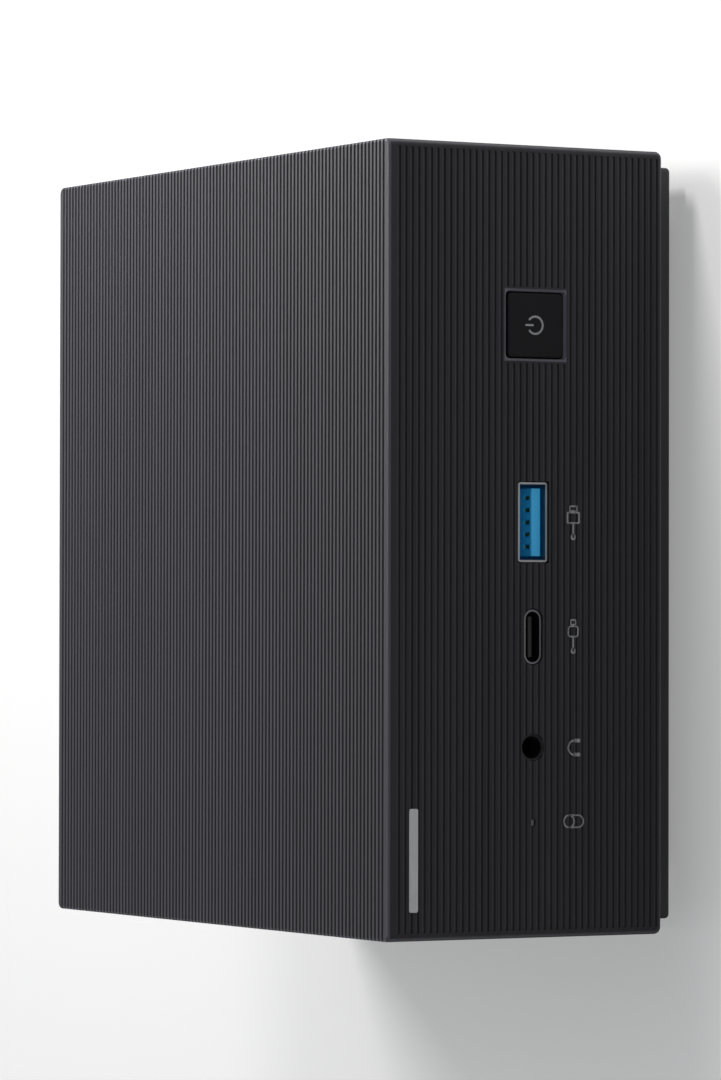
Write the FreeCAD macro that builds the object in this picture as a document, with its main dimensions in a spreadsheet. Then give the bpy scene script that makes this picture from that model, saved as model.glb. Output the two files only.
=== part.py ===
"""Compact desktop computer ("mini pc"), 130 x 120 x 58 mm.

Frame: origin on the desk plane below the centre of the body, +X to the right
seen from the front, +Y from the front panel to the rear ports, +Z up.
All sizes are millimetres.  The driving dimensions live in the sheet "dims".
Each piece has a function of its own name; PIECES at the end lists them.
"""
import FreeCAD, Part
import Sketcher
import math
import os

Vector = FreeCAD.Vector
Rotation = FreeCAD.Rotation
Placement = FreeCAD.Placement
doc = FreeCAD.newDocument("mini_pc")
sheet = doc.addObject("Spreadsheet::Sheet", "dims")


class Driven:
    """A length that knows its number and the expression that drives it."""

    def __init__(self, text, value):
        self.text, self.value = text, float(value)

    @property
    def linked(self):
        return "dims." in self.text

    def __add__(self, other):
        other = driven(other)
        return Driven("(%s + %s)" % (self.text, other.text), self.value + other.value)

    def __sub__(self, other):
        other = driven(other)
        return Driven("(%s - %s)" % (self.text, other.text), self.value - other.value)

    def __mul__(self, other):
        other = driven(other)
        return Driven("(%s * %s)" % (self.text, other.text), self.value * other.value)

    def __truediv__(self, other):
        other = driven(other)
        return Driven("(%s / %s)" % (self.text, other.text), self.value / other.value)

    def __neg__(self):
        return Driven("(0 - %s)" % self.text, -self.value)

    def __radd__(self, other):
        return driven(other) + self

    def __rsub__(self, other):
        return driven(other) - self

    def __rmul__(self, other):
        return driven(other) * self


def driven(value):
    if isinstance(value, Driven):
        return value
    value = float(value)
    return Driven("%.6g" % value if value >= 0 else "(0 - %.6g)" % -value, value)


aliases = []


def cell(alias, value, note):
    """Add one driving dimension to the sheet."""
    aliases.append(alias)
    row = len(aliases)
    sheet.set("A%d" % row, note)
    sheet.set("B%d" % row, str(value))
    sheet.setAlias("B%d" % row, alias)
    return Driven("dims." + alias, value)


# ---------------------------------------------------------------- driving dimensions
width = cell("width", 130, "overall width")
depth = cell("depth", 120, "overall depth")
height = cell("height", 58, "overall height on its feet")
skirt = cell("skirt", 5.5, "height of the cover's lower edge above the desk")
wall = cell("wall", 2, "cover wall")
corner_r = cell("corner_r", 1.2, "fillet of the upright corners")
lower_r = cell("lower_r", 1, "fillet round the cover's lower edge")
top_r = cell("top_r", 0.45, "fillet round the top face")
rib_pitch = cell("rib_pitch", 1.2, "pitch of the fine ribs")
rib_gap = cell("rib_gap", 0.62, "mouth of a groove between two ribs")
rib_root = cell("rib_root", 0.3, "floor of a groove")
rib_deep = cell("rib_deep", 0.32, "depth of a groove")
rib_end = cell("rib_end", 1.3, "plain margin at both ends of a groove")
foot_h = cell("foot_h", 2.5, "rubber foot below the bottom cover")
plate = cell("plate", 2, "bottom cover plate")
board_z = cell("board_z", 25.6, "underside of the mainboard")
board_t = cell("board_t", 1.6, "mainboard thickness")
port_z = cell("port_z", 30.6, "centre height of the front sockets")
button_x = cell("button_x", 35.4, "power button centre")
button_z = cell("button_z", 30.3, "power button centre height")
button_w = cell("button_w", 10.6, "power button side")
usb_a_x = cell("usb_a_x", 3.1, "front type A socket centre")
usb_c_x = cell("usb_c_x", -15.7, "front type C socket centre")
jack_x = cell("jack_x", -33.8, "headset socket centre")
led_x = cell("led_x", -46.1, "activity light centre")
usb_w = cell("usb_w", 13.1, "type A shell width")
usb_h = cell("usb_h", 5.6, "type A shell height")
jack_bore = cell("jack_bore", 1.8, "headset socket bore radius")
mount_pitch = cell("mount_pitch", 75, "hole pitch of the bracket pattern")
mount_r = cell("mount_r", 1.25, "radius of the bracket holes")
post_x = cell("post_x", 56.5, "cover screw position")
post_front = cell("post_front", -51.5, "front cover screws")
post_rear = cell("post_rear", 50.5, "rear cover screws")
screw_r = cell("screw_r", 1.2, "cover screw shank radius")
panel_t = cell("panel_t", 2, "rear panel thickness")
panel_in = cell("panel_in", 1.2, "rear panel set back from the cover's edge")
fan_x = cell("fan_x", -21, "fan axis")
fan_y = cell("fan_y", -1, "fan axis")
fan_r = cell("fan_r", 26.5, "impeller radius")
shaft_r = cell("shaft_r", 1, "fan shaft radius")
cpu_x = cell("cpu_x", 33, "processor centre")
cpu_y = cell("cpu_y", -3, "processor centre")
pipe_r = cell("pipe_r", 2.5, "heat pipe radius")
doc.recompute()


# ---------------------------------------------------------------- shared places
SIDES = (-1, 1)


def mirrored(x, *ys):
    """Points at -x and +x for each y."""
    return [(side * x, y) for side in SIDES for y in ys]


tray_top = foot_h + plate
board_top = board_z + board_t
frame_z = board_z - 3  # underside of the middle frame's ring
post_points = mirrored(post_x, post_front, post_rear)
mount_points = mirrored(mount_pitch / 2, -mount_pitch / 2, mount_pitch / 2)
foot_points = mirrored(50, -34, 34)
frame_screw_points = mirrored(60.3, -22, 28)
board_screw_points = mirrored(54, -38, 40)
panel_screw_z = 18

button_seat = button_w / 2 + 0.2  # half side of the button's opening
front_mouth = -depth / 2 + 0.35  # mouth plane of the front sockets
panel_back = depth / 2 - panel_in
rear_mouth = panel_back - 0.2  # mouth plane of the rear sockets

# centres of the rear sockets, right to left seen from the front
dc_x = 53.0
video_narrow_x = 37.5
video_first_x = 19.2
video_second_x = 1.2
lan_x = -17.2
usb_stack_x = -34.6
usb_single_x = -51.4


# ---------------------------------------------------------------- Part helpers
TURN = {"z": Rotation(), "y": Rotation(Vector(1, 0, 0), -90)}


def bind(obj, **properties):
    """Set each property, by expression where a driving dimension is in it."""
    for name, value in properties.items():
        value = driven(value)
        if value.linked:
            obj.setExpression(name, value.text)
        else:
            setattr(obj, name, value.value)


def place(obj, x, y, z, rotation=TURN["z"]):
    coords = [driven(c) for c in (x, y, z)]
    obj.Placement = Placement(Vector(*[c.value for c in coords]), rotation)
    for axis, coord in zip("xyz", coords):
        if coord.linked:
            obj.setExpression("Placement.Base." + axis, coord.text)
    return obj


def box(x0, x1, y0, y1, z0, z1):
    """A block between two corners."""
    x0, x1, y0, y1, z0, z1 = [driven(c) for c in (x0, x1, y0, y1, z0, z1)]
    obj = doc.addObject("Part::Box", "block")
    bind(obj, Length=x1 - x0, Width=y1 - y0, Height=z1 - z0)
    return place(obj, x0, y0, z0)


def box_on(x, half, y0, y1, z0, z1):
    """A block centred on x."""
    return box(x - half, x + half, y0, y1, z0, z1)


def cyl(x, y, z, radius, length, axis="z"):
    """A round bar that starts at x, y, z and runs along +axis."""
    obj = doc.addObject("Part::Cylinder", "round")
    bind(obj, Radius=radius, Height=length)
    return place(obj, x, y, z, TURN[axis])


def cone(x, y, z, radius1, radius2, length, axis="z"):
    obj = doc.addObject("Part::Cone", "taper")
    bind(obj, Radius1=radius1, Radius2=radius2, Height=length)
    return place(obj, x, y, z, TURN[axis])


def fuse(*objs):
    obj = doc.addObject("Part::MultiFuse", "union")
    obj.Shapes = list(objs)
    return obj


def group(*objs):
    obj = doc.addObject("Part::Compound", "group")
    obj.Links = list(objs)
    return obj


def cut(base, *tools):
    obj = doc.addObject("Part::Cut", "cut")
    obj.Base = base
    obj.Tool = tools[0] if len(tools) == 1 else fuse(*tools)
    return obj


def edge_numbers(shape, test):
    return [i for i, edge in enumerate(shape.Edges, 1) if test(edge)]


def soften(base, radius, test):
    """Part fillet on the edges that pass a test."""
    doc.recompute()
    obj = doc.addObject("Part::Fillet", "soft")
    obj.Base = base
    obj.Edges = [(i, radius, radius) for i in edge_numbers(base.Shape, test)]
    return obj


def cross_slots(x, y, arm, half, z0, z1):
    """Two crossed blocks that cut a screw's recess."""
    return (
        box_on(x, arm, y - half, y + half, z0, z1),
        box_on(x, half, y - arm, y + arm, z0, z1),
    )


def screws(points, seat_z, head_r, head_h, shank_r, length, head_below=False):
    """Cross-head screws along Z; the head sits above or below its seat."""
    made = []
    for x, y in points:
        if head_below:
            head = cyl(x, y, seat_z - head_h, head_r, head_h)
            shank = cyl(x, y, seat_z, shank_r, length)
            slot_z = (seat_z - head_h - 0.1, seat_z - head_h + 0.5)
        else:
            head = cyl(x, y, seat_z, head_r, head_h)
            shank = cyl(x, y, seat_z - length, shank_r, length)
            slot_z = (seat_z + head_h - 0.5, seat_z + head_h + 0.1)
        made.append(cut(fuse(head, shank), *cross_slots(x, y, head_r * 0.58, 0.22, *slot_z)))
    return group(*made)


# ---------------------------------------------------------------- edge tests
def along(axis):
    """True for edges that run along one axis."""

    def test(edge):
        if len(edge.Vertexes) < 2:
            return False
        span = edge.Vertexes[0].Point - edge.Vertexes[-1].Point
        return abs(getattr(span, axis)) > 1e-3 and all(
            abs(getattr(span, other)) < 1e-6 for other in "xyz" if other != axis
        )

    return test


def on_plane(axis, level, tolerance=1e-6):
    """True for edges whose ends all lie at one level of an axis."""
    return lambda edge: all(
        abs(getattr(v.Point, axis) - level.value) < tolerance for v in edge.Vertexes
    )


def along_at_side(axis, half_width):
    """True for edges along an axis that start at x = -half_width or +half_width."""
    return lambda edge: (
        along(axis)(edge) and abs(abs(edge.Vertexes[0].Point.x) - half_width.value) < 1e-6
    )


# ---------------------------------------------------------------- sketch helpers
def new_body(name):
    return doc.addObject("PartDesign::Body", name)


def origin_part(body, role):
    """An origin plane or axis of a body."""
    for feature in body.Origin.OriginFeatures:
        if feature.Role == role:
            return feature


def sketch(body, plane, name, lift=0):
    """A sketch raised along its plane's normal: +Z for XY, -Y for XZ, +X for YZ."""
    sk = body.newObject("Sketcher::SketchObject", name)
    sk.AttachmentSupport = [(origin_part(body, plane), "")]
    sk.MapMode = "FlatFace"
    lift = driven(lift)
    if lift.linked:
        sk.setExpression("AttachmentOffset.Base.z", lift.text)
    else:
        sk.AttachmentOffset = Placement(Vector(0, 0, lift.value), Rotation())
    return sk


def dim(sk, kind, args, value):
    value = driven(value)
    index = sk.addConstraint(Sketcher.Constraint(kind, *args, value.value))
    if value.linked:
        sk.setExpression("Constraints[%d]" % index, value.text)


def pin_point(sk, geometry, point, x, y):
    """Fix a point of the sketch from its origin."""
    dim(sk, "DistanceX", (-1, 1, geometry, point), x)
    dim(sk, "DistanceY", (-1, 1, geometry, point), y)


def closed_lines(sk, points):
    """Joined lines through plain (x, y) points; gives the first line's index."""
    first = sk.GeometryCount
    count = len(points)
    for i in range(count):
        start, end = points[i], points[(i + 1) % count]
        sk.addGeometry(Part.LineSegment(Vector(*start, 0), Vector(*end, 0)))
    for i in range(count):
        sk.addConstraint(
            Sketcher.Constraint("Coincident", first + i, 2, first + (i + 1) % count, 1)
        )
    return first


def polygon(sk, points):
    """A closed outline through points whose x and y are each driven."""
    points = [(driven(x), driven(y)) for x, y in points]
    first = closed_lines(sk, [(x.value, y.value) for x, y in points])
    for i, (x, y) in enumerate(points):
        pin_point(sk, first + i, 1, x, y)


def rect(sk, x0, x1, y0, y1):
    """A rectangle between two driven corners."""
    x0, x1, y0, y1 = [driven(c) for c in (x0, x1, y0, y1)]
    corners = [(x0, y0), (x1, y0), (x1, y1), (x0, y1)]
    first = closed_lines(sk, [(x.value, y.value) for x, y in corners])
    for i in range(4):
        kind = "Horizontal" if i % 2 == 0 else "Vertical"
        sk.addConstraint(Sketcher.Constraint(kind, first + i))
    pin_point(sk, first, 1, x0, y0)
    dim(sk, "DistanceX", (first, 1, first, 2), x1 - x0)
    dim(sk, "DistanceY", (first + 1, 1, first + 1, 2), y1 - y0)


def rect_on(sk, x, half, y0, y1):
    """A rectangle centred on x."""
    rect(sk, x - half, x + half, y0, y1)


def disc(sk, x, y, radius):
    x, y, radius = driven(x), driven(y), driven(radius)
    circle = Part.Circle(Vector(x.value, y.value, 0), Vector(0, 0, 1), radius.value)
    index = sk.addGeometry(circle)
    pin_point(sk, index, 3, x, y)
    dim(sk, "Radius", (index,), radius)


def oblong(sk, x0, x1, y0, y1):
    """A round-ended slot, long along x or along y."""
    x0, x1, y0, y1 = [driven(c) for c in (x0, x1, y0, y1)]
    if (x1 - x0).value >= (y1 - y0).value:
        radius = (y1 - y0) / 2
        centres = ((x0 + radius, y0 + radius), (x1 - radius, y0 + radius))
        spans = ((math.pi / 2, 3 * math.pi / 2), (-math.pi / 2, math.pi / 2))
    else:
        radius = (x1 - x0) / 2
        centres = ((x0 + radius, y0 + radius), (x0 + radius, y1 - radius))
        spans = ((math.pi, 2 * math.pi), (0, math.pi))
    first = sk.GeometryCount
    for (x, y), span in zip(centres, spans):
        circle = Part.Circle(Vector(x.value, y.value, 0), Vector(0, 0, 1), radius.value)
        sk.addGeometry(Part.ArcOfCircle(circle, *span))
    arc0, arc1 = sk.Geometry[first], sk.Geometry[first + 1]
    sk.addGeometry(Part.LineSegment(arc0.EndPoint, arc1.StartPoint))
    sk.addGeometry(Part.LineSegment(arc1.EndPoint, arc0.StartPoint))
    for one, other in ((0, 2), (2, 1), (1, 3), (3, 0)):
        sk.addConstraint(Sketcher.Constraint("Tangent", first + one, 2, first + other, 1))
    for i, (x, y) in enumerate(centres):
        pin_point(sk, first + i, 3, x, y)
    dim(sk, "Radius", (first,), radius)


# ---------------------------------------------------------------- body features
def pad(body, sk, length, reverse=False):
    """Extrude along the sketch normal, or against it when reversed."""
    feature = body.newObject("PartDesign::Pad", sk.Name + "_pad")
    feature.Profile = sk
    bind(feature, Length=length)
    feature.Reversed = reverse
    body.Tip = feature
    return feature


def pocket(body, sk, length, reverse=False, both=False):
    """Cut against the sketch normal, or along it when reversed.

    A pocket that removes nothing is an error.
    """
    doc.recompute()
    before = body.Shape.Volume
    feature = body.newObject("PartDesign::Pocket", sk.Name + "_cut")
    feature.Profile = sk
    bind(feature, Length=length)
    feature.Reversed = reverse
    if both:
        feature.Midplane = True
    body.Tip = feature
    doc.recompute()
    if not body.Shape.Volume < before - 1e-4:
        raise RuntimeError("pocket %s removes nothing" % sk.Name)
    return feature


def repeat(body, original, axis, step, count, reverse=False):
    """Repeat a feature in a row along an origin axis."""
    doc.recompute()
    feature = body.newObject("PartDesign::LinearPattern", original.Name + "_row")
    feature.Originals = [original]
    feature.Direction = (origin_part(body, axis), [""])
    bind(feature, Length=step * (count - 1))
    feature.Occurrences = count
    feature.Reversed = reverse
    body.Tip = feature
    doc.recompute()


def dress(body, size, test, kind="Fillet"):
    """Fillet or chamfer the edges of a body that pass a test."""
    doc.recompute()
    base = body.Tip
    names = ["Edge%d" % i for i in edge_numbers(base.Shape, test)]
    feature = body.newObject("PartDesign::" + kind, "edge")
    feature.Base = (base, names)
    bind(feature, **{"Radius" if kind == "Fillet" else "Size": size})
    body.Tip = feature
    doc.recompute()


# ================================================================ outer cover
groove_z = skirt + 1.4  # lowest groove of the front and the sides
top_grooves = 98
wall_grooves = 42


def cover_block():
    """A rounded box, open below and at the rear."""
    body = new_body("cover_body")
    sk = sketch(body, "XY_Plane", "cover_outline", skirt)
    rect(sk, -width / 2, width / 2, -depth / 2, depth / 2)
    pad(body, sk, height - skirt)
    dress(body, corner_r, along("z"))
    dress(body, top_r, on_plane("z", height))
    # the lower edge stays sharp at the rear and round the rear corners
    front_of = (depth / 2 - corner_r).value + 0.01
    low = on_plane("z", skirt)
    dress(body, lower_r, lambda e: low(e) and all(v.Point.y < front_of for v in e.Vertexes))
    sk = sketch(body, "XY_Plane", "cover_cavity", skirt)
    rect(sk, -width / 2 + wall, width / 2 - wall, -depth / 2 + wall, depth / 2 + 1)
    pocket(body, sk, height - skirt - wall, reverse=True)
    return body


def add_bosses(body):
    """Bosses that take the frame screws from below."""
    inner, outer = width / 2 - 7, width / 2 - wall / 2
    for x, y in frame_screw_points:
        sk = sketch(body, "XY_Plane", "boss", board_z)
        x0, x1 = (-outer, -inner) if x < 0 else (inner, outer)
        rect(sk, x0, x1, y - 3, y + 3)
        pad(body, sk, 10)
    sk = sketch(body, "XY_Plane", "boss_holes", board_z)
    for x, y in frame_screw_points:
        disc(sk, x, y, 1.1)
    pocket(body, sk, 8, reverse=True)


def add_grooves(body):
    """Long narrow grooves across the top, the front and both sides."""
    half, root = rib_gap / 2, rib_root / 2
    first_y = -(rib_pitch * (top_grooves - 1)) / 2
    sk = sketch(body, "YZ_Plane", "groove_top")
    polygon(sk, [
        (first_y - half, height + 0.01),
        (first_y - root, height - rib_deep),
        (first_y + root, height - rib_deep),
        (first_y + half, height + 0.01),
    ])
    groove = pocket(body, sk, width + 1, both=True)
    repeat(body, groove, "Y_Axis", rib_pitch, top_grooves)
    # plane, name, side of the origin, size across the grooved walls, size along the groove
    for plane, name, side, across, run in (
        ("YZ_Plane", "groove_front", -1, depth, width),
        ("XZ_Plane", "groove_left", -1, width, depth),
        ("XZ_Plane", "groove_right", 1, width, depth),
    ):
        mouth, floor = side * (across / 2 + 0.01), side * (across / 2 - rib_deep)
        sk = sketch(body, plane, name)
        polygon(sk, [
            (mouth, groove_z - half),
            (floor, groove_z - root),
            (floor, groove_z + root),
            (mouth, groove_z + half),
        ])
        groove = pocket(body, sk, run - 2 * rib_end, both=True)
        repeat(body, groove, "Z_Axis", rib_pitch, wall_grooves)


def add_front_openings(body):
    sk = sketch(body, "XZ_Plane", "front_openings", depth / 2 + 0.5)
    rect_on(sk, button_x, button_seat, button_z - button_seat, button_z + button_seat)
    half_h = usb_h / 2 + 0.15
    rect_on(sk, usb_a_x, usb_w / 2 + 0.15, port_z - half_h, port_z + half_h)
    oblong(sk, usb_c_x - 4.65, usb_c_x + 4.65, port_z - 1.8, port_z + 1.8)
    disc(sk, jack_x, port_z, 2.25)
    oblong(sk, led_x - 0.65, led_x + 0.65, port_z - 0.4, port_z + 0.4)
    pocket(body, sk, wall + 1.2)


def add_button_frame(body):
    """Plain frame round the button that bridges the grooves, chamfered inside."""
    seat = button_seat
    rim = seat + 0.75
    sk = sketch(body, "XZ_Plane", "button_frame", depth / 2 - 0.4)
    for half in (rim, seat):
        rect_on(sk, button_x, half, button_z - half, button_z + half)
    pad(body, sk, 0.4)

    def off_button(vertex):
        return abs(vertex.Point.x - button_x.value), abs(vertex.Point.z - button_z.value)

    def seat_corner(edge):
        return along("y")(edge) and all(
            abs(offset - seat.value) < 1e-4 for v in edge.Vertexes for offset in off_button(v)
        )

    on_front = on_plane("y", -depth / 2, 1e-4)

    def seat_mouth(edge):
        return on_front(edge) and all(
            max(off_button(v)) < seat.value + 1e-3 for v in edge.Vertexes
        )

    dress(body, 0.8, seat_corner)
    dress(body, 0.38, seat_mouth, "Chamfer")


def add_side_slots(body):
    """Vent slots through both sides, in line with the grooves, and a lock slot."""
    vent_z = groove_z + rib_pitch * 20
    sk = sketch(body, "YZ_Plane", "vents")
    for i in range(4):
        y = -38 + i * 18
        oblong(sk, y, y + 15, vent_z - 0.55, vent_z + 0.55)
    slots = pocket(body, sk, width + 4, both=True)
    repeat(body, slots, "Z_Axis", rib_pitch * 2, 9)
    # lock slot, left side only
    sk = sketch(body, "YZ_Plane", "lock_slot", -width / 2 - 0.5)
    oblong(sk, 43, 50, 12.5, 15.5)
    pocket(body, sk, wall + 1, reverse=True)


def top_cover():
    body = cover_block()
    add_bosses(body)
    add_grooves(body)
    add_front_openings(body)
    add_button_frame(body)
    add_side_slots(body)
    return body


# ================================================================ bottom cover
def bottom_cover():
    body = new_body("tray_body")
    half = width / 2 - wall - 0.4
    front, rear = -depth / 2 + wall + 0.4, depth / 2 - 3.4
    rim = 1.2
    sk = sketch(body, "XY_Plane", "tray_plate", foot_h)
    rect(sk, -half, half, front, rear)
    pad(body, sk, plate)
    sk = sketch(body, "XY_Plane", "tray_rim", tray_top)
    rect(sk, -half, half, front, rear)
    rect(sk, -half + rim, half - rim, front + rim, rear - rim)
    pad(body, sk, 3.5)
    dress(body, 0.8, along_at_side("z", half))
    dress(body, 0.6, on_plane("z", foot_h))
    sk = sketch(body, "XY_Plane", "bracket_bosses", tray_top)
    for x, y in mount_points:
        disc(sk, x, y, 3.6)
    pad(body, sk, 4)
    # round cuts that start 1 mm below the plate: name, centres, radius, depth
    for name, points, radius, deep in (
        ("bracket_holes", mount_points, mount_r, plate + 8),
        ("screw_holes", post_points, 1.6, plate + 3),
        ("screw_seats", post_points, 3.2, 2.1),
        ("foot_seats", foot_points, 7.1, 1.7),
    ):
        sk = sketch(body, "XY_Plane", name, foot_h - 1)
        for x, y in points:
            disc(sk, x, y, radius)
        pocket(body, sk, deep, reverse=True)
    # intake slots: a row from the middle to the right, then one to the left
    pitch = 4.4
    for name, x, count, leftward in (
        ("intake", 0, 7, False),
        ("intake_left", -pitch, 6, True),
    ):
        sk = sketch(body, "XY_Plane", name, foot_h - 1)
        for y in (-31, 3):
            oblong(sk, x - 1.1, x + 1.1, y, y + 28)
        slots = pocket(body, sk, plate + 3, reverse=True)
        repeat(body, slots, "X_Axis", pitch, count, reverse=leftward)
    return body


def rubber_feet():
    radius, bevel = 7, 0.6
    return group(*[
        fuse(
            cyl(x, y, foot_h - 0.02, radius, 0.72),
            cyl(x, y, bevel, radius, foot_h - bevel),
            cone(x, y, 0, 6.4, radius, bevel),
        )
        for x, y in foot_points
    ])


def cover_screws():
    made = []
    for x, y in post_points:
        head = cyl(x, y, foot_h + 0.1, 2.9, 1)
        shank = cyl(x, y, foot_h + 1.1, screw_r, 9.4)
        slots = cross_slots(x, y, 1.7, 0.28, foot_h, foot_h + 0.6)
        made.append(cut(fuse(head, shank), *slots))
    return group(*made)


# ================================================================ drive bay bracket
sheet_t = 0.8
rivet_points = ((-40, -47), (40, -47), (-26, 30.8), (26, 30.8))


def drive_bracket():
    """Two upright rails along X with tabs, joined by two straps of sheet steel."""
    front, rear = -44.2, 28.2  # outer faces of the rails
    tab_top = tray_top + sheet_t
    rail_top = 15.5
    metal = fuse(
        box(-46, 46, front, front + sheet_t, tray_top, rail_top),
        box(-46, 46, rear - sheet_t, rear, tray_top, rail_top),
        box(-46, -34.5, -49.5, front + sheet_t, tray_top, tab_top),
        box(34.5, 46, -49.5, front + sheet_t, tray_top, tab_top),
        box(20, 32, rear, 33, tray_top, tab_top),
        box(-32, -20, rear, 33, tray_top, tab_top),
        box(-28, -18, front, rear, 8.7, 9.5),
        box(18, 28, front, rear, 8.7, 9.5),
    )
    holes = [cyl(x, y, 12.3, 1.7, 4, "y") for x, y in mirrored(38.4, -46, 26)]
    for i in range(5):
        holes.append(box_on(-24 + i * 12, 3.5, -46, 30, 11.4, 13.2))
    for x, y in rivet_points:
        holes.append(cyl(x, y, 0, 1.3, 12))
    return cut(metal, *holes)


def bracket_rivets():
    return group(*[
        fuse(cyl(x, y, tray_top, 1.28, 1.2), cyl(x, y, tray_top + sheet_t, 2.2, 0.7))
        for x, y in rivet_points
    ])


# ================================================================ middle frame
def mid_frame():
    """A ring below the mainboard on four posts, with its screw bosses."""
    half = width / 2 - wall - 0.6
    front, rear = -depth / 2 + wall + 0.8, panel_back - panel_t
    bits = [cut(
        box(-half, half, front, rear, frame_z, board_z),
        box(-50, 50, -53, 49, frame_z - 1, board_z + 1),
    )]
    holes = []
    for side in SIDES:
        x = side * post_x
        posts = [point for point in post_points if point[0].value == x.value]
        board_points = [point for point in board_screw_points if point[0] * side > 0]
        for _, y in posts:
            bits.append(cyl(x, y, tray_top, 4.5, frame_z - tray_top + 0.5))
            holes.append(cyl(x, y, 4, screw_r + 0.05, 11))
        bits.append(box_on(x, 3.6, post_rear, rear, 14, frame_z + 0.5))
        holes.append(cyl(x, post_rear - 1, panel_screw_z, 1.25, 12, "y"))
        for boss_x, y in board_points:
            bits.append(cyl(boss_x, y, frame_z - 4, 3, 4.5))
            holes.append(cyl(boss_x, y, frame_z - 5, 1.15, 10))
        for hole_x, y in frame_screw_points:
            if hole_x * side > 0:
                holes.append(cyl(hole_x, y, frame_z - 1, 1.3, 6))
    return cut(fuse(*bits), *holes)


def frame_screws():
    return screws(frame_screw_points, frame_z, head_r=2.0, head_h=1.2,
                  shank_r=1.05, length=9.5, head_below=True)


def board_screws():
    return screws(board_screw_points, board_top, head_r=2.4, head_h=1.3,
                  shank_r=1.1, length=7.5)


# ================================================================ mainboard
def mainboard():
    body = new_body("board_body")
    sk = sketch(body, "XY_Plane", "board_outline", board_z)
    rect(sk, -57.5, 57.5, -55.4, 56.4)
    pad(body, sk, board_t)
    # both front corners are notched round the posts
    sk = sketch(body, "XY_Plane", "board_corners", board_z - 1)
    for side in SIDES:
        rect_on(sk, side * 55.5, 4.5, -60, -47)
    pocket(body, sk, board_t + 3, reverse=True)
    sk = sketch(body, "XY_Plane", "board_holes", board_z - 1)
    for x, y in board_screw_points:
        disc(sk, x, y, 1.5)
    pocket(body, sk, board_t + 3, reverse=True)
    return body


def power_inductors():
    coils = []
    for i in range(5):
        y = -27 + i * 9.0
        block = box(1.0, 7.6, y, y + 6.8, board_top, board_top + 3.2)
        coils.append(soften(block, 0.6, along("z")))
    return group(*coils)


# x, y of each can
CAPACITORS = (
    (-8, -28), (-8, -20), (-9, 25), (-2, 25), (-16, 25),
    (53, 26), (46, 30), (-44, 22), (-51.5, 22),
)


def capacitors():
    return group(*[cyl(x, y, board_top, 2.9, 5.8) for x, y in CAPACITORS])


# left x, front y, size along x, size along y, thickness
BOARD_CHIPS = (
    (-14, 4, 10, 10, 1.0),
    (-30, 28, 8, 8, 0.9),
    (-44, 6, 7, 9, 0.9),
    (42, -42, 9, 9, 1.0),
    (-20, -44, 7, 7, 0.9),
    (28, 26, 9, 6, 0.9),
)


def board_chips():
    return group(*[
        box(x, x + size_x, y, y + size_y, board_top, board_top + thick)
        for x, y, size_x, size_y, thick in BOARD_CHIPS
    ])


cell_x, cell_y = 22, -38
cell_z = board_top + 0.95


def coin_cell():
    return cyl(cell_x, cell_y, cell_z, 9.9, 3.2)


def coin_cell_holder():
    return cut(
        cyl(cell_x, cell_y, board_top, 11, 3.4),
        cyl(cell_x, cell_y, cell_z, 9.95, 6),
        box_on(cell_x, 2, -52, -26, board_top + 1.6, board_top + 6),
    )


# ================================================================ processor and cooling
plate_z = board_top + 2  # underside of the cold plate
pipe_z = plate_z + 4.7  # pipe axes over the cold plate
pipe_xs = (28, 38)  # pipe axes over the cold plate
fin_pipe_ys = (41.2, 48.6)  # pipe axes in the fin stack
fin_pipe_z = 48.6
fin_x = -51  # left end of the fin stack
pipe_fit = 0.03
plate_corners = [
    (cpu_x + side * 20.5, cpu_y + end * 18.5) for side in SIDES for end in (-1, 1)
]


def processor():
    return fuse(
        box_on(cpu_x, 17.5, cpu_y - 14, cpu_y + 14, board_top, board_top + 1.2),
        box_on(cpu_x, 7, cpu_y - 6, cpu_y + 6, board_top + 1.2, plate_z),
    )


def bent_wire(points, bend_r=9.0):
    """Straight runs joined by bends, tighter where a run is short."""
    points = [Vector(*point) for point in points]
    edges, start = [], points[0]
    for before, corner, after in zip(points, points[1:], points[2:]):
        back, ahead = (before - corner).normalize(), (after - corner).normalize()
        angle = back.getAngle(ahead)
        shorter = min((before - corner).Length, (after - corner).Length)
        setback = min(bend_r / math.tan(angle / 2), 0.45 * shorter)
        radius = setback * math.tan(angle / 2)
        bend_start, bend_end = corner + back * setback, corner + ahead * setback
        inward = (back + ahead).normalize()
        centre = corner + inward * (radius / math.sin(angle / 2))
        middle = centre - inward * radius
        edges.append(Part.LineSegment(start, bend_start).toShape())
        edges.append(Part.Arc(bend_start, middle, bend_end).toShape())
        start = bend_end
    edges.append(Part.LineSegment(start, points[-1]).toShape())
    return Part.Wire(edges)


def swept(points, radius):
    """A solid round bar along a bent wire."""
    direction = (Vector(*points[1]) - Vector(*points[0])).normalize()
    circle = Part.Circle(Vector(*points[0]), direction, radius)
    profile = Part.Wire([circle.toShape()])
    return bent_wire(points).makePipeShell([profile], True, True)


def swept_pair(name, routes, radius):
    obj = doc.addObject("Part::Feature", name)
    obj.Shape = Part.Compound([swept(route, radius) for route in routes])
    return obj


def heat_pipes():
    """From the cold plate back and up, then left through the fin stack."""
    low, high = pipe_z.value, fin_pipe_z
    left_x, right_x = pipe_xs
    front_y, rear_y = fin_pipe_ys
    routes = (
        [(left_x, -23, low), (left_x, 12, low), (25, 32, high),
         (18.5, front_y, high), (fin_x, front_y, high)],
        [(right_x, -23, low), (right_x, 14, low), (35, 37, high),
         (24, rear_y, high), (fin_x, rear_y, high)],
    )
    return swept_pair("heat_pipe_pair", routes, pipe_r.value)


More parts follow.
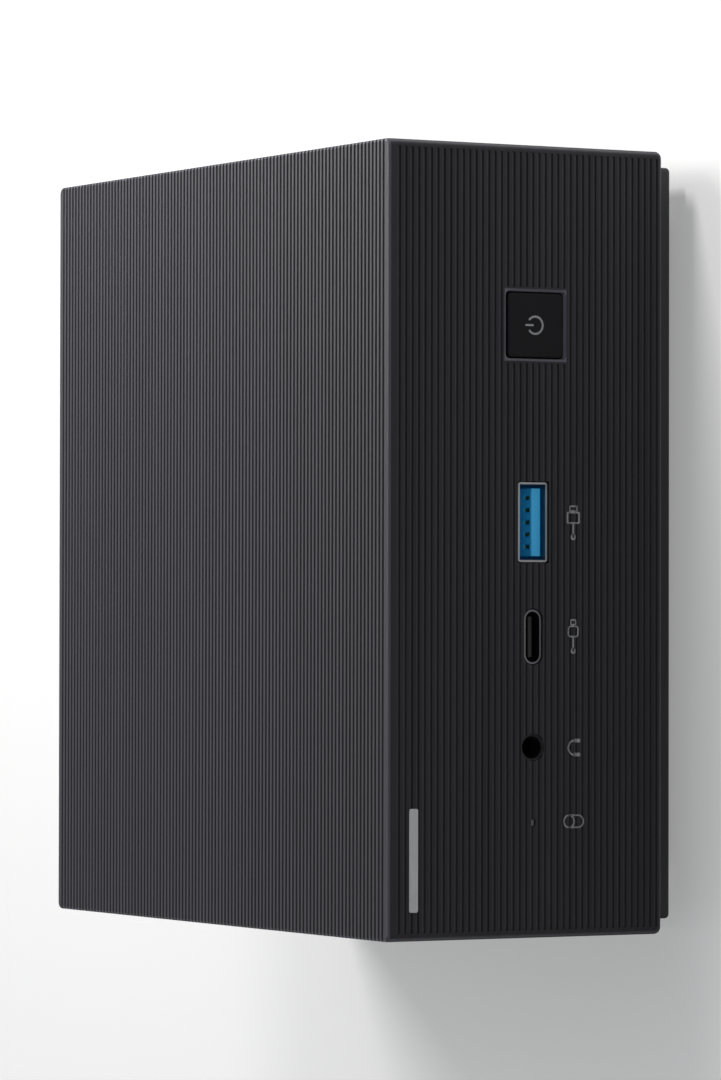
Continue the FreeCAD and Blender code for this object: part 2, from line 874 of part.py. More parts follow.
def cold_plate():
    holes = [cyl(x, -40, pipe_z, pipe_r + pipe_fit, 80, "y") for x in pipe_xs]
    holes += [box_on(x, 2.53, -40, 40, pipe_z, pipe_z + 4) for x in pipe_xs]
    for x, y in plate_corners:
        holes.append(cyl(x, y, plate_z - 1, 1.35, 8))
        holes.append(cyl(x, y, plate_z + 1.5, 2.6, 4))
    block = box_on(cpu_x, 24, cpu_y - 22, cpu_y + 22, plate_z, plate_z + 4)
    return cut(block, *holes)


def cold_plate_screws():
    return screws(plate_corners, plate_z + 1.5, head_r=2.2, head_h=1.4,
                  shank_r=1.05, length=3.0)


def fin_stack():
    """Thin upright fins in a row along X, joined by a plate below."""
    body = new_body("fin_body")
    front, rear = 36, 54
    sk = sketch(body, "YZ_Plane", "fin_outline", fin_x)
    rect(sk, front, rear, 43.4, 54.4)
    for y in fin_pipe_ys:
        disc(sk, y, fin_pipe_z, pipe_r + pipe_fit)
    fin = pad(body, sk, 0.35)
    body.AllowCompound = True  # the fins are separate until the plate joins them
    repeat(body, fin, "X_Axis", 1.6, 39)
    sk = sketch(body, "XY_Plane", "fin_plate", 43.0)
    rect(sk, fin_x - 0.2, 10.4, front, rear)
    pad(body, sk, 0.5)
    return body


# ================================================================ blower
fan_z = 41.6  # underside of the housing
fan_top = 55.2
lid_z = fan_top - 1.0
lid_top = fan_top - 0.2
fan_rear = fan_y + 36.4
bearing_r = 2.4
stator_z = fan_z + 3.4
rotor_z = fan_z + 3.0
magnet_r = 9.9
ear_points = [
    (fan_x + x, fan_y + y) for x, y in ((-28.6, -29.6), (28.6, -29.6), (28.6, 32.4))
]


def fan_block(z0, z1):
    block = box(fan_x - 32, fan_x + 32, fan_y - 33, fan_rear, z0, z1)
    return soften(block, 5.0, along("z"))


def ear_holes():
    return [cyl(x, y, fan_z - 1, 1.2, 20) for x, y in ear_points]


def fan_housing():
    """A block hollowed for the impeller and open at the rear."""
    hollow = cut(
        fan_block(fan_z, lid_z),
        cyl(fan_x, fan_y, fan_z + 1.2, 30.2, 20),
        box(fan_x - 30.2, fan_x + 25.2, fan_y, fan_rear + 1, fan_z + 1.2, fan_top),
    )
    # the floor opening leaves a hub and three arms standing
    arm_z = (fan_z - 2, fan_z + 4)
    inlet = cut(
        cyl(fan_x, fan_y, fan_z - 1, 19, 3.2),
        cyl(fan_x, fan_y, fan_z - 2, 9, 6),
        box_on(fan_x, 2, fan_y, fan_y + 22, *arm_z),
        box(fan_x - 22, fan_x, fan_y - 2, fan_y + 2, *arm_z),
        box(fan_x, fan_x + 22, fan_y - 2, fan_y + 2, *arm_z),
    )
    bearing_hole = cyl(fan_x, fan_y, fan_z - 1, bearing_r, 4)
    return cut(hollow, inlet, bearing_hole, *ear_holes())


def fan_lid():
    opening = cyl(fan_x, fan_y, fan_top - 2, 20, 4)
    return cut(fan_block(lid_z, lid_top), opening, *ear_holes())


def fan_screws():
    return screws(ear_points, lid_top, head_r=2.0, head_h=0.7, shank_r=1.1, length=16)


def fan_bearing():
    return cut(
        cyl(fan_x, fan_y, fan_z, bearing_r, 9.4),
        cyl(fan_x, fan_y, fan_z + 0.6, shaft_r + 0.03, 12),
    )


def fan_stator():
    """A core with six arms round the bearing."""
    thick, arm_w = 4, 2.2
    teeth = [cyl(fan_x, fan_y, stator_z, 4.6, thick)]
    for i in range(6):
        # each arm starts at the axis and points outwards
        angle = math.radians(60 * i)
        arm = doc.addObject("Part::Box", "arm")
        bind(arm, Length=8.6, Width=arm_w, Height=thick)
        place(
            arm,
            fan_x + math.sin(angle) * arm_w / 2,
            fan_y - math.cos(angle) * arm_w / 2,
            stator_z,
            Rotation(Vector(0, 0, 1), 60 * i),
        )
        teeth.append(arm)
    return cut(fuse(*teeth), cyl(fan_x, fan_y, fan_z, bearing_r, 20))


def blade_outline(segments=6):
    """A swept-back blade, tapering outwards: one flank out, the other back in."""
    root_r, tip_r = 10.6, fan_r.value
    flank, other_flank = [], []
    for k in range(segments + 1):
        t = k / segments
        radius = root_r + (tip_r - root_r) * t
        angle = math.radians(-34 * t ** 1.15)
        half = (0.55 + 0.35 * (1 - t)) / 2
        x, y = radius * math.cos(angle), radius * math.sin(angle)
        across_x, across_y = -math.sin(angle + 0.5) * half, math.cos(angle + 0.5) * half
        flank.append((x + across_x, y + across_y))
        other_flank.append((x - across_x, y - across_y))
    return flank + other_flank[::-1]


def fan_impeller():
    """A cup-shaped hub with 27 blades, modelled round the origin, then moved."""
    body = new_body("rotor_body")
    sk = sketch(body, "XY_Plane", "hub_outline", rotor_z)
    disc(sk, 0, 0, 11)
    pad(body, sk, 9.2)
    sk = sketch(body, "XY_Plane", "hub_hollow", rotor_z)
    disc(sk, 0, 0, magnet_r)
    pocket(body, sk, 8.0, reverse=True)
    sk = sketch(body, "XY_Plane", "hub_bore", fan_z + 2)
    disc(sk, 0, 0, shaft_r)
    pocket(body, sk, 12, reverse=True)
    sk = sketch(body, "XY_Plane", "blade", fan_z + 2.6)
    outline = blade_outline()
    closed_lines(sk, outline)
    for i in range(len(outline)):
        sk.addConstraint(Sketcher.Constraint("Block", i))
    blade = pad(body, sk, 9.0)
    doc.recompute()
    blades = body.newObject("PartDesign::PolarPattern", "blades")
    blades.Originals = [blade]
    blades.Axis = (origin_part(body, "Z_Axis"), [""])
    blades.Angle = 360
    blades.Occurrences = 27
    body.Tip = blades
    doc.recompute()
    return place(body, fan_x, fan_y, 0)


def fan_shaft():
    return cyl(fan_x, fan_y, fan_z + 0.75, shaft_r, 11.2)


def fan_magnet():
    return cut(
        cyl(fan_x, fan_y, fan_z + 3.2, magnet_r, 6.6), cyl(fan_x, fan_y, rotor_z, 9.1, 8)
    )


# ================================================================ power button
def power_button():
    """A cap in the front panel with a flange and a stem behind it."""
    body = new_body("key_body")
    half = button_w / 2
    face = depth / 2 - 0.12
    sk = sketch(body, "XZ_Plane", "key_cap", face)
    rect_on(sk, button_x, half, button_z - half, button_z + half)
    pad(body, sk, wall, reverse=True)
    dress(body, 0.7, along("y"))
    dress(body, 0.3, on_plane("y", -face))
    sk = sketch(body, "XZ_Plane", "key_flange", depth / 2 - wall - 0.06)
    rect_on(sk, button_x, half + 1, button_z - half + 2, button_z + half - 2)
    pad(body, sk, 0.9, reverse=True)
    sk = sketch(body, "XZ_Plane", "key_stem", depth / 2 - wall - 0.9)
    disc(sk, button_x, button_z, 1.6)
    pad(body, sk, 3.3, reverse=True)
    return body


def button_guide():
    return cut(
        fuse(
            box_on(button_x, 5.2, -55.2, -54.2, 33.2, 35.6),
            box_on(button_x, 8.2, -55.2, -54.2, board_top, 33.5),
        ),
        cyl(button_x, -57, button_z, 1.75, 5, "y"),
    )


def power_switch():
    return cut(
        box_on(button_x, 3.3, -53.2, -49.2, board_top, board_top + 6.6),
        cyl(button_x, -54, button_z, 1.5, 2.6, "y"),
    )


def switch_plunger():
    return cyl(button_x, -53.75, button_z, 1.4, 1.8, "y")


def activity_light_pipe():
    return fuse(
        box_on(led_x, 0.5, -59.7, -54.5, port_z - 0.28, port_z + 0.28),
        box_on(led_x, 1.3, -57.6, -54.5, board_top, port_z + 0.9),
    )


# ================================================================ front sockets
usb_sheet = 0.35
usb_tongue_half = 5.55
usb_tongue_t = 1.85
# the front tongue sits low in the opening with its contacts on the upper face
usb_tongue_z = port_z - 1.95
mouth_contacts = (-4, -2, 0, 2, 4)
inner_contacts = (-3.5, -1.0, 1.0, 3.5)


def front_usb_a_shell():
    """Folded sheet-metal shell that opens to the front, on four legs."""
    half_w, half_h, length = usb_w / 2, usb_h / 2, 14
    legs = [
        box(usb_a_x + x, usb_a_x + x + usb_sheet, y, y + 2.4, board_top, port_z)
        for x in (-half_w, half_w - usb_sheet)
        for y in (-54.5, -49)
    ]
    block = box_on(usb_a_x, half_w, front_mouth, front_mouth + length,
                   port_z - half_h, port_z + half_h)
    outer = soften(block, 0.5, along("y"))
    inner = box_on(
        usb_a_x, half_w - usb_sheet, front_mouth - 1, front_mouth + length - 0.4,
        port_z - half_h + usb_sheet, port_z + half_h - usb_sheet,
    )
    return fuse(cut(outer, inner), *legs)


def front_usb_a_tongue():
    y, z = front_mouth, usb_tongue_z
    block = box_on(usb_a_x, usb_tongue_half, y + 0.7, y + 13.6, z, z + usb_tongue_t)
    tongue = soften(block, 0.2, along("x"))
    slots = [
        box_on(usb_a_x + x, 0.5, y + 1.15, y + 3.05, z + 1.45, z + 2.5)
        for x in mouth_contacts
    ]
    root = box_on(usb_a_x, 6.15, y + 10.2, y + 13.6, port_z - 2.35, port_z + 2.35)
    return fuse(cut(tongue, *slots), root)


def front_usb_a_contacts():
    y, z = front_mouth, usb_tongue_z
    pins = [
        box_on(usb_a_x + x, 0.5, y + 4.6, y + 10.1, z + usb_tongue_t, z + 2.0)
        for x in inner_contacts
    ]
    pins += [
        box_on(usb_a_x + x, 0.32, y + 1.3, y + 3.05, z + 1.45, z + 1.65)
        for x in mouth_contacts
    ]
    return group(*pins)


def usb_c_slug(y0, y1, wide, high):
    """A round-sided flat bar on the type C socket's axis."""
    radius = high / 2.0
    offset = wide / 2 - radius
    return fuse(
        box_on(usb_c_x, offset, y0, y1, port_z - radius, port_z + radius),
        cyl(usb_c_x - offset, y0, port_z, radius, y1 - y0, "y"),
        cyl(usb_c_x + offset, y0, port_z, radius, y1 - y0, "y"),
    )


def front_usb_c_shell():
    return cut(
        fuse(
            usb_c_slug(front_mouth, front_mouth + 8.6, 8.94, 3.26),
            *[
                box_on(usb_c_x + side * 3.2, 0.4, -55, -52, board_top, port_z - 1.5)
                for side in SIDES
            ]
        ),
        usb_c_slug(front_mouth - 1, front_mouth + 8.2, 8.34, 2.66),
    )


def front_usb_c_tongue():
    y = front_mouth
    return fuse(
        box_on(usb_c_x, 3.34, y + 0.9, y + 7, port_z - 0.35, port_z + 0.35),
        usb_c_slug(y + 5.6, y + 8.15, 8.2, 2.5),
    )


def headset_jack():
    return cut(
        fuse(
            box_on(jack_x, 3.6, -57.6, -45, board_top, port_z + 3.2),
            cyl(jack_x, front_mouth, port_z, 2.15, 4, "y"),
        ),
        cyl(jack_x, front_mouth - 1, port_z, jack_bore, 14.5, "y"),
        cone(jack_x, front_mouth - 0.01, port_z, 2.05, jack_bore, 0.3, "y"),
    )


# ================================================================ rear panel
# socket openings: centre x, half width, bottom and top above the mainboard
PANEL_OPENINGS = (
    (video_narrow_x, 8.4, 0.2, 6.0),
    (video_first_x, 7.9, 0.2, 6.4),
    (video_second_x, 7.9, 0.2, 6.4),
    (lan_x, 8.3, -0.2, 13.6),
    (usb_stack_x, 7, -0.2, 15.3),
    (usb_single_x, 6.8, 0.3, 6.3),
)


def rear_panel():
    body = new_body("panel_body")
    half = width / 2 - wall - 0.15
    cut_start, cut_depth = -panel_back - 0.5, panel_t + 1
    sk = sketch(body, "XZ_Plane", "panel_outline", -panel_back)
    rect(sk, -half, half, skirt + 0.2, height - wall - 0.15)
    pad(body, sk, panel_t)
    sk = sketch(body, "XZ_Plane", "panel_openings", cut_start)
    disc(sk, dc_x, 31.4, 4.2)
    for x, half_w, low, high in PANEL_OPENINGS:
        rect_on(sk, x, half_w, board_top + low, board_top + high)
    pocket(body, sk, cut_depth, reverse=True)
    # upright slots: name, left edge of the first, bottom, top, count
    for name, x, low, high, count in (
        ("exhaust", -51.1, 44.0, 54.0, 32),
        ("lower_vents", -41, 10, 21, 26),
    ):
        sk = sketch(body, "XZ_Plane", name, cut_start)
        oblong(sk, x, x + 1.6, low, high)
        slot = pocket(body, sk, cut_depth, reverse=True)
        repeat(body, slot, "X_Axis", 3.2, count)
    sk = sketch(body, "XZ_Plane", "panel_screw_holes", cut_start)
    for side in SIDES:
        disc(sk, side * post_x, panel_screw_z, 1.5)
    pocket(body, sk, cut_depth, reverse=True)
    dress(body, 0.5, along_at_side("y", half))
    return body


def rear_panel_screws():
    made = []
    z, length = panel_screw_z, 7.6
    slot_y = (panel_back + 0.7, panel_back + 2)
    for side in SIDES:
        x = side * post_x
        head = cyl(x, panel_back, z, 2.5, 1.2, "y")
        shank = cyl(x, panel_back - length, z, 1.15, length, "y")
        made.append(cut(
            fuse(head, shank),
            box_on(x, 1.5, *slot_y, z - 0.22, z + 0.22),
            box_on(x, 0.22, *slot_y, z - 1.5, z + 1.5),
        ))
    return group(*made)


# ================================================================ rear sockets
def dc_jack():
    """A block with a round nose; its round hole leaves a centre pin."""
    z = 31.4
    panel_front = panel_back - panel_t
    return cut(
        fuse(
            box_on(dc_x, 4.4, 46.4, panel_front - 0.2, board_top, 36.4),
            cyl(dc_x, panel_front - 0.4, z, 4.0, panel_t + 0.2, "y"),
        ),
        cut(cyl(dc_x, 49.4, z, 3.0, 14, "y"), cyl(dc_x, 48.4, z, 0.95, 9.6, "y")),
    )


def video_outline(sk, x, wide, high, low, inset=0, shift=0):
    """A rectangle with its two lower corners cut off by low + shift."""
    half = wide / 2
    z0 = board_top + 0.4
    z1 = z0 + high
    polygon(sk, [
        (x - half + low + shift, z0 + inset),
        (x + half - low - shift, z0 + inset),
        (x + half - inset, z0 + low + shift),
        (x + half - inset, z1 - inset),
        (x - half + inset, z1 - inset),
        (x - half + inset, z0 + low + shift),
    ])


def video_socket(*size):
    """Shell of a display socket: centre x, width, height, cut of the lower corners."""
    body = new_body("video_body")
    sk = sketch(body, "XZ_Plane", "video_outline", -rear_mouth)
    video_outline(sk, *size)
    pad(body, sk, 11.5)
    sk = sketch(body, "XZ_Plane", "video_hollow", -rear_mouth - 0.5)
    video_outline(sk, *size, inset=0.4, shift=0.2)
    pocket(body, sk, 10.5, reverse=True)
    return body


def video_socket_shells():
    return group(
        video_socket(video_first_x, 15.2, 5.6, 1.6),
        video_socket(video_second_x, 15.2, 5.6, 1.6),
        video_socket(video_narrow_x, 16.3, 5.2, 1.1),
    )


def video_socket_tongues():
    tongues = []
    # centre x, half width, underside above the mainboard
    for x, half, low in (
        (video_first_x, 5.2, 3.1),
        (video_second_x, 5.2, 3.1),
        (video_narrow_x, 5.5, 2.9),
    ):
        z = board_top + low
        tongues.append(box_on(x, half, rear_mouth - 10.0, rear_mouth - 1.6, z, z + 1.1))
    return group(*tongues)


lan_light_x = 5.7  # lights left and right of the socket's centre

# cuts of the network socket: offset in x, half width, depth, bottom and top above the board
LAN_CUTS = (
    (0, 6, 12, 3.4, 10.4),
    (0, 3.1, 12, 1.9, 4),
    (0, 1.9, 12, 0.8, 2.5),
    (-lan_light_x, 1.5, 1.5, 11.1, 12.7),
    (lan_light_x, 1.5, 1.5, 11.1, 12.7),
)


def lan_socket():
    return cut(
        box_on(lan_x, 8, rear_mouth - 20, rear_mouth, board_top, board_top + 13.3),
        *[
            box_on(lan_x + x, half, rear_mouth - deep, rear_mouth + 1,
                   board_top + low, board_top + high)
            for x, half, deep, low, high in LAN_CUTS
        ]
    )


def lan_lights():
    return group(*[
        box_on(lan_x + side * lan_light_x, 1.45, rear_mouth - 1.45, rear_mouth - 0.05,
               board_top + 11.15, board_top + 12.65)
        for side in SIDES
    ])


def lan_contacts():
    return group(*[
        box_on(lan_x - 3.57 + k * 1.02, 0.22, rear_mouth - 11.5, rear_mouth - 4,
               board_top + 9.9, board_top + 10.35)
        for k in range(8)
    ])


def rear_usb_shell(x, half, length, low, high, openings):
    """A rounded block with one opening for each (bottom, top) above the mainboard."""
    block = box_on(x, half, rear_mouth - length, rear_mouth, board_top + low, board_top + high)
    return cut(
        soften(block, 0.5, along("y")),
        *[
            box_on(x, 6.2, rear_mouth - 13, rear_mouth + 1, board_top + z0, board_top + z1)
            for z0, z1 in openings
        ]
    )


def rear_usb_shells():
    return group(
        rear_usb_shell(usb_stack_x, 6.75, 17, 0, 15.0, [(1.0, 5.9), (9.0, 13.9)]),
        rear_usb_shell(usb_single_x, 6.55, 14, 0.5, 6.1, [(0.85, 5.75)]),
    )


def rear_usb_tongues():
    tongues = []
    for x, low in ((usb_stack_x, 2.1), (usb_stack_x, 10.1), (usb_single_x, 1.95)):
        z = board_top + low
        block = box_on(x, usb_tongue_half, rear_mouth - 12.8, rear_mouth - 0.9,
                       z, z + usb_tongue_t)
        tongues.append(soften(block, 0.25, along("x")))
    return group(*tongues)


# ================================================================ memory, below the board
memory_ys = (-51.0, -15.5)  # front faces of the two sockets


def memory_sockets():
    sockets = []
    for y in memory_ys:
        bar = box(-36.8, 36.8, y, y + 6.6, board_z - 5.2, board_z)
        arms = [
            box_on(side * 36, 0.8, y + 6.5, y + 29, board_z - 4.6, board_z - 1.0)
            for side in SIDES
        ]
        slot = box(-34.95, 34.95, y + 2.6, y + 8, board_z - 4.25, board_z - 2.95)
        sockets.append(cut(fuse(bar, *arms), slot))
    return group(*sockets)


def memory_modules():
    return group(*[
        cut(
            box(-34.8, 34.8, y + 2.8, y + 32.8, board_z - 4.2, board_z - 3.0),
            cyl(-34.8, y + 24, board_z - 6, 1.1, 4),
            cyl(34.8, y + 24, board_z - 6, 1.1, 4),
            box(-3.2, -1.6, y + 2, y + 6.3, board_z - 6, board_z - 2),
        )
        for y in memory_ys
    ])


# ================================================================ storage and wireless cards
ssd_y = 35.0
ssd_end_x = 38.7  # right end of the storage card, where its screw sits
wifi_y = -14.0
wifi_end_x = -53.8  # left end of the wireless card, where its screw sits
plug_x = -50.5  # antenna plugs on the wireless card
plug_offset = 6


def ssd_board():
    return cut(
        box(-41.3, ssd_end_x, ssd_y - 11, ssd_y + 11, board_z - 2.7, board_z - 1.9),
        cyl(ssd_end_x, ssd_y, board_z - 4, 1.75, 4),
    )


def module_chips():
    """Chips on both faces of the memory modules and below the storage card."""
    chips = []
    for y in memory_ys:
        for i in range(4):
            x = -28.4 + i * 15.2
            for low, high in ((-5.25, -4.2), (-3.0, -1.95)):
                chips.append(box(x, x + 11, y + 13, y + 22, board_z + low, board_z + high))
        chips.append(box(-2.2, 2.2, y + 25, y + 29.4, board_z - 4.75, board_z - 4.2))
    # left x, right x, half size along y, thickness
    for x0, x1, half, thick in (
        (-34, -24, 6, 1.2),
        (-20, -6, 9, 1.3),
        (-2, 12, 9, 1.3),
        (16, 30, 9, 1.3),
    ):
        z = board_z - 2.7
        chips.append(box(x0, x1, ssd_y - half, ssd_y + half, z - thick, z))
    return group(*chips)


def card_sockets():
    half, slot_half = 11.2, 11.03
    ssd_socket = cut(
        box(-47, -38.6, ssd_y - half, ssd_y + half, board_z - 4.2, board_z),
        box(-41.5, -38, ssd_y - slot_half, ssd_y + slot_half, board_z - 2.75, board_z - 1.85),
    )
    wifi_socket = cut(
        box(-27, -19, wifi_y - half, wifi_y + half, board_top, board_top + 4.0),
        box(-28, -23.5, wifi_y - slot_half, wifi_y + slot_half,
            board_top + 1.85, board_top + 2.75),
    )
    return group(ssd_socket, wifi_socket)


def wifi_card():
    return cut(
        fuse(
            box(wifi_end_x, -23.8, wifi_y - 11, wifi_y + 11, board_top + 1.9, board_top + 2.7),
            box(-47, -29, wifi_y - 9, wifi_y + 9, board_top + 2.7, board_top + 4.1),
            cyl(plug_x, wifi_y - plug_offset, board_top + 2.6, 1.0, 1.45),
            cyl(plug_x, wifi_y + plug_offset, board_top + 2.6, 1.0, 1.45),
        ),
        cyl(wifi_end_x, wifi_y, board_top, 1.75, 4),
    )


def card_screws():
    size = dict(head_r=2.7, head_h=0.9, shank_r=1.0, length=2.2)
    return group(
        screws([(ssd_end_x, ssd_y)], board_z - 2.72, head_below=True, **size),
        screws([(wifi_end_x, wifi_y)], board_top + 2.72, **size),
    )


def antenna_cables():
    """From the plugs to the antennas inside the left wall."""
    z = board_top.value + 4.62
    routes = (
        [
            (plug_x, wifi_y - plug_offset, z),
            (-56.4, wifi_y - 7, z),
            (-56.6, wifi_y - 17, z + 4),
            (-61.7, wifi_y - 31, 40),
        ],
        [
            (plug_x, wifi_y + plug_offset, z),
            (-56.4, wifi_y + 8, z),
            (-56.5, wifi_y + 36, z + 4),
            (-56.6, wifi_y + 46, 39),
            (-61.7, wifi_y + 54, 40),
        ],
    )
    return swept_pair("antenna_cable_pair", routes, 0.55)


def antennas():
    return group(*[
        box(-63, -62.35, wifi_y + front, wifi_y + rear, 36.5, 43.5)
        for front, rear in ((-40, -27), (51, 68))
    ])


# ================================================================ standoffs
def standoff(x, y, z, radius, length, bore_z, bore_r, bore_length):
    return cut(cyl(x, y, z, radius, length), cyl(x, y, bore_z, bore_r, bore_length))


def board_standoffs():
    """Standoffs of the cold plate, the blower, the storage and the wireless card."""
    made = [
        standoff(x, y, board_top, 2.1, 2.0, board_top + 0.3, 1.1, 3) for x, y in plate_corners
    ]
    made += [
        standoff(x, y, board_top, 2.5, fan_z - board_top, fan_z - 5, 1.15, 6)
        for x, y in ear_points
    ]
    made.append(
        standoff(ssd_end_x, ssd_y, board_z - 1.88, 2.6, 1.88, board_z - 4, 1.05, 3.6)
    )
    made.append(
        standoff(wifi_end_x, wifi_y, board_top, 2.6, 1.88, board_top + 0.4, 1.05, 3)
    )
    return group(*made)


# ================================================================ build, check and export
PIECES = (
    top_cover, bottom_cover, rubber_feet, cover_screws,
    drive_bracket, bracket_rivets, mid_frame, frame_screws, board_screws,
    mainboard, processor, heat_pipes, cold_plate, cold_plate_screws, fin_stack,
    fan_housing, fan_lid, fan_screws, fan_bearing, fan_stator,
    fan_impeller, fan_shaft, fan_magnet,
    power_button, button_guide, power_switch, switch_plunger, activity_light_pipe,
    front_usb_a_shell, front_usb_a_tongue, front_usb_a_contacts,
    front_usb_c_shell, front_usb_c_tongue, headset_jack,
    rear_panel, rear_panel_screws, dc_jack, video_socket_shells, video_socket_tongues,
    lan_socket, lan_lights, lan_contacts, rear_usb_shells, rear_usb_tongues,
    memory_sockets, memory_modules, ssd_board, module_chips, card_sockets, wifi_card,
    board_standoffs, card_screws, antenna_cables, antennas,
    coin_cell, coin_cell_holder, power_inductors, capacitors, board_chips,
)

nodes = {}
for build in PIECES:
    piece = build()
    piece.Label = build.__name__
    nodes[build.__name__] = piece

doc.recompute()
bad = []
for obj in doc.Objects:
    if "Invalid" in obj.State or "Error" in obj.State:
        bad.append("%s (%s): %s" % (obj.Name, obj.Label, obj.State))
for name, piece in nodes.items():
    shape = piece.Shape
    if shape.isNull() or not shape.isValid() or not shape.Solids:
        bad.append("%s has no valid solid" % name)
    elif shape.Volume <= 0:
        bad.append("%s has no volume" % name)
if bad:
    raise RuntimeError("; ".join(bad))

os.makedirs("parts", exist_ok=True)
# files of pieces that no longer exist are removed
for old in os.listdir("parts"):
    if old.endswith(".step") and old[:-5] not in nodes:
        os.remove(os.path.join("parts", old))
for name, piece in nodes.items():
    piece.Shape.exportStep("parts/%s.step" % name)
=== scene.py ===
"""A mini desktop computer: ribbed charcoal shell, ports front and rear, boards and fan inside.

It stands on z = 0 with +Z up, the front facing -Y and the rear panel facing +Y.
The script dresses the CAD pieces, adds printed marks and small parts, and sets up the studio.
"""
import math
import random

import bmesh
import bpy
from mathutils import Matrix, Vector


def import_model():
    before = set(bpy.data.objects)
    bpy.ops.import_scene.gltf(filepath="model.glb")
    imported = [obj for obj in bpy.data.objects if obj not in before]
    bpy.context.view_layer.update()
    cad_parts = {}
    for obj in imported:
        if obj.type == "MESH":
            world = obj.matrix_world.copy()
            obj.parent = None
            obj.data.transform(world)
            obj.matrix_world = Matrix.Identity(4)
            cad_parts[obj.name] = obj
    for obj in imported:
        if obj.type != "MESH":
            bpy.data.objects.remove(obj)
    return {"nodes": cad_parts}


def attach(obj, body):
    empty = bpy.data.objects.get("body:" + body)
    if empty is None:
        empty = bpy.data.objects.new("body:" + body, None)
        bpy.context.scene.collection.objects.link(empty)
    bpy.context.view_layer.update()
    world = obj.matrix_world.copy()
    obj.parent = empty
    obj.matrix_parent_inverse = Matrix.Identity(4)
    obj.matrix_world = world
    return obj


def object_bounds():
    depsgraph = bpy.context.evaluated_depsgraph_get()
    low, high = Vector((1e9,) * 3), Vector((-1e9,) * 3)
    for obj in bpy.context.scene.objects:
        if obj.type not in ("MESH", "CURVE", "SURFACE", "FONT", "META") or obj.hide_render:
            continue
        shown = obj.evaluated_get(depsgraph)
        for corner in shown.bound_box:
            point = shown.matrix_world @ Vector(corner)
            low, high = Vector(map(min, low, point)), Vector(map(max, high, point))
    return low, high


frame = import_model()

cad_lo, cad_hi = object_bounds()
scene = bpy.context.scene

# Lengths are millimetres unless a line says otherwise; MM turns them into metres.
MM = 0.001
BUTTON_X, BUTTON_Z = 35.4, 30.3           # centre of the power button
FIRST_GROOVE, GROOVE_PITCH = 6.9, 1.2     # heights of the grooves between the shell's ribs
BOARD_TOP, BOARD_UNDER = 27.2, 25.6       # faces of the mainboard
MEMORY_ROWS = (-51.0, -15.5)              # y where each memory module starts


# =============================================================== shader fields
def plug(socket, value):
    """Links a field to a socket, or sets a plain value; colours get an alpha of 1."""
    if isinstance(value, Field):
        socket.id_data.links.new(value.socket, socket)
    elif socket.type == "RGBA":
        socket.default_value = (*value, 1.0)
    else:
        socket.default_value = value


def add_node(tree, kind, inputs={}, **settings):
    node = tree.nodes.new(kind)
    for name, value in settings.items():
        setattr(node, name, value)
    for key, value in inputs.items():
        plug(node.inputs[key], value)
    return node


def math_node(operation, *values):
    tree = next(v.tree for v in values if isinstance(v, Field))
    inputs = dict(enumerate(values))
    return Field(add_node(tree, "ShaderNodeMath", inputs, operation=operation))


def larger(first, second):
    return math_node("MAXIMUM", first, second)


def mix(factor, under, over):
    """Blends two colours: under at factor 0, over at factor 1."""
    inputs = {0: factor, 6: under, 7: over}
    return Field(add_node(factor.tree, "ShaderNodeMix", inputs, data_type="RGBA"), 2)


def shade(color, factor):
    return tuple(min(1.0, channel * factor) for channel in color)


class Field:
    """One output of a shader node. Arithmetic on fields writes math nodes."""

    def __init__(self, node, output=0):
        self.tree = node.id_data
        self.socket = node.outputs[output]

    def __add__(self, other):
        return math_node("ADD", self, other)

    def __sub__(self, other):
        return math_node("SUBTRACT", self, other)

    def __rsub__(self, other):
        return math_node("SUBTRACT", other, self)

    def __mul__(self, other):
        return math_node("MULTIPLY", self, other)

    def __rmul__(self, other):
        return math_node("MULTIPLY", other, self)

    def __truediv__(self, other):
        return math_node("DIVIDE", self, other)

    def __abs__(self):
        return math_node("ABSOLUTE", self)

    def split(self):
        """The X, Y and Z of a vector, or the channels of a colour."""
        node = add_node(self.tree, "ShaderNodeSeparateXYZ", {0: self})
        return [Field(node, i) for i in range(3)]

    def scaled(self, factor):
        inputs = {0: self, "Scale": factor}
        return Field(add_node(self.tree, "ShaderNodeVectorMath", inputs, operation="SCALE"))

    def stretch(self, x, y, z):
        """Multiplies each axis; a small number draws a pattern out along that axis."""
        inputs = {0: self, 1: (x, y, z)}
        return Field(add_node(self.tree, "ShaderNodeVectorMath", inputs, operation="MULTIPLY"))

    def noise(self, scale=1.0, detail=3.0, rough=0.5, distort=0.0):
        """Noise over this position; scale is in features per millimetre."""
        inputs = {"Vector": self, "Scale": scale, "Detail": detail, "Roughness": rough,
                  "Distortion": distort}
        return Field(add_node(self.tree, "ShaderNodeTexNoise", inputs))

    def cells(self, scale=1.0, metric="CHEBYCHEV", randomness=1.0, output="Distance"):
        inputs = {"Vector": self, "Scale": scale, "Randomness": randomness}
        node = add_node(self.tree, "ShaderNodeTexVoronoi", inputs, feature="F1", distance=metric)
        return Field(node, output)

    def ramp(self, start, end, to=(0.0, 1.0), smooth=False):
        """Runs from to[0] where this field is start to to[1] where it is end, and stays there."""
        inputs = {"Value": self, "From Min": start, "From Max": end,
                  "To Min": to[0], "To Max": to[1]}
        kind = "SMOOTHSTEP" if smooth else "LINEAR"
        return Field(add_node(self.tree, "ShaderNodeMapRange", inputs,
                              clamp=True, interpolation_type=kind))


finishes = {}  # finished materials by name


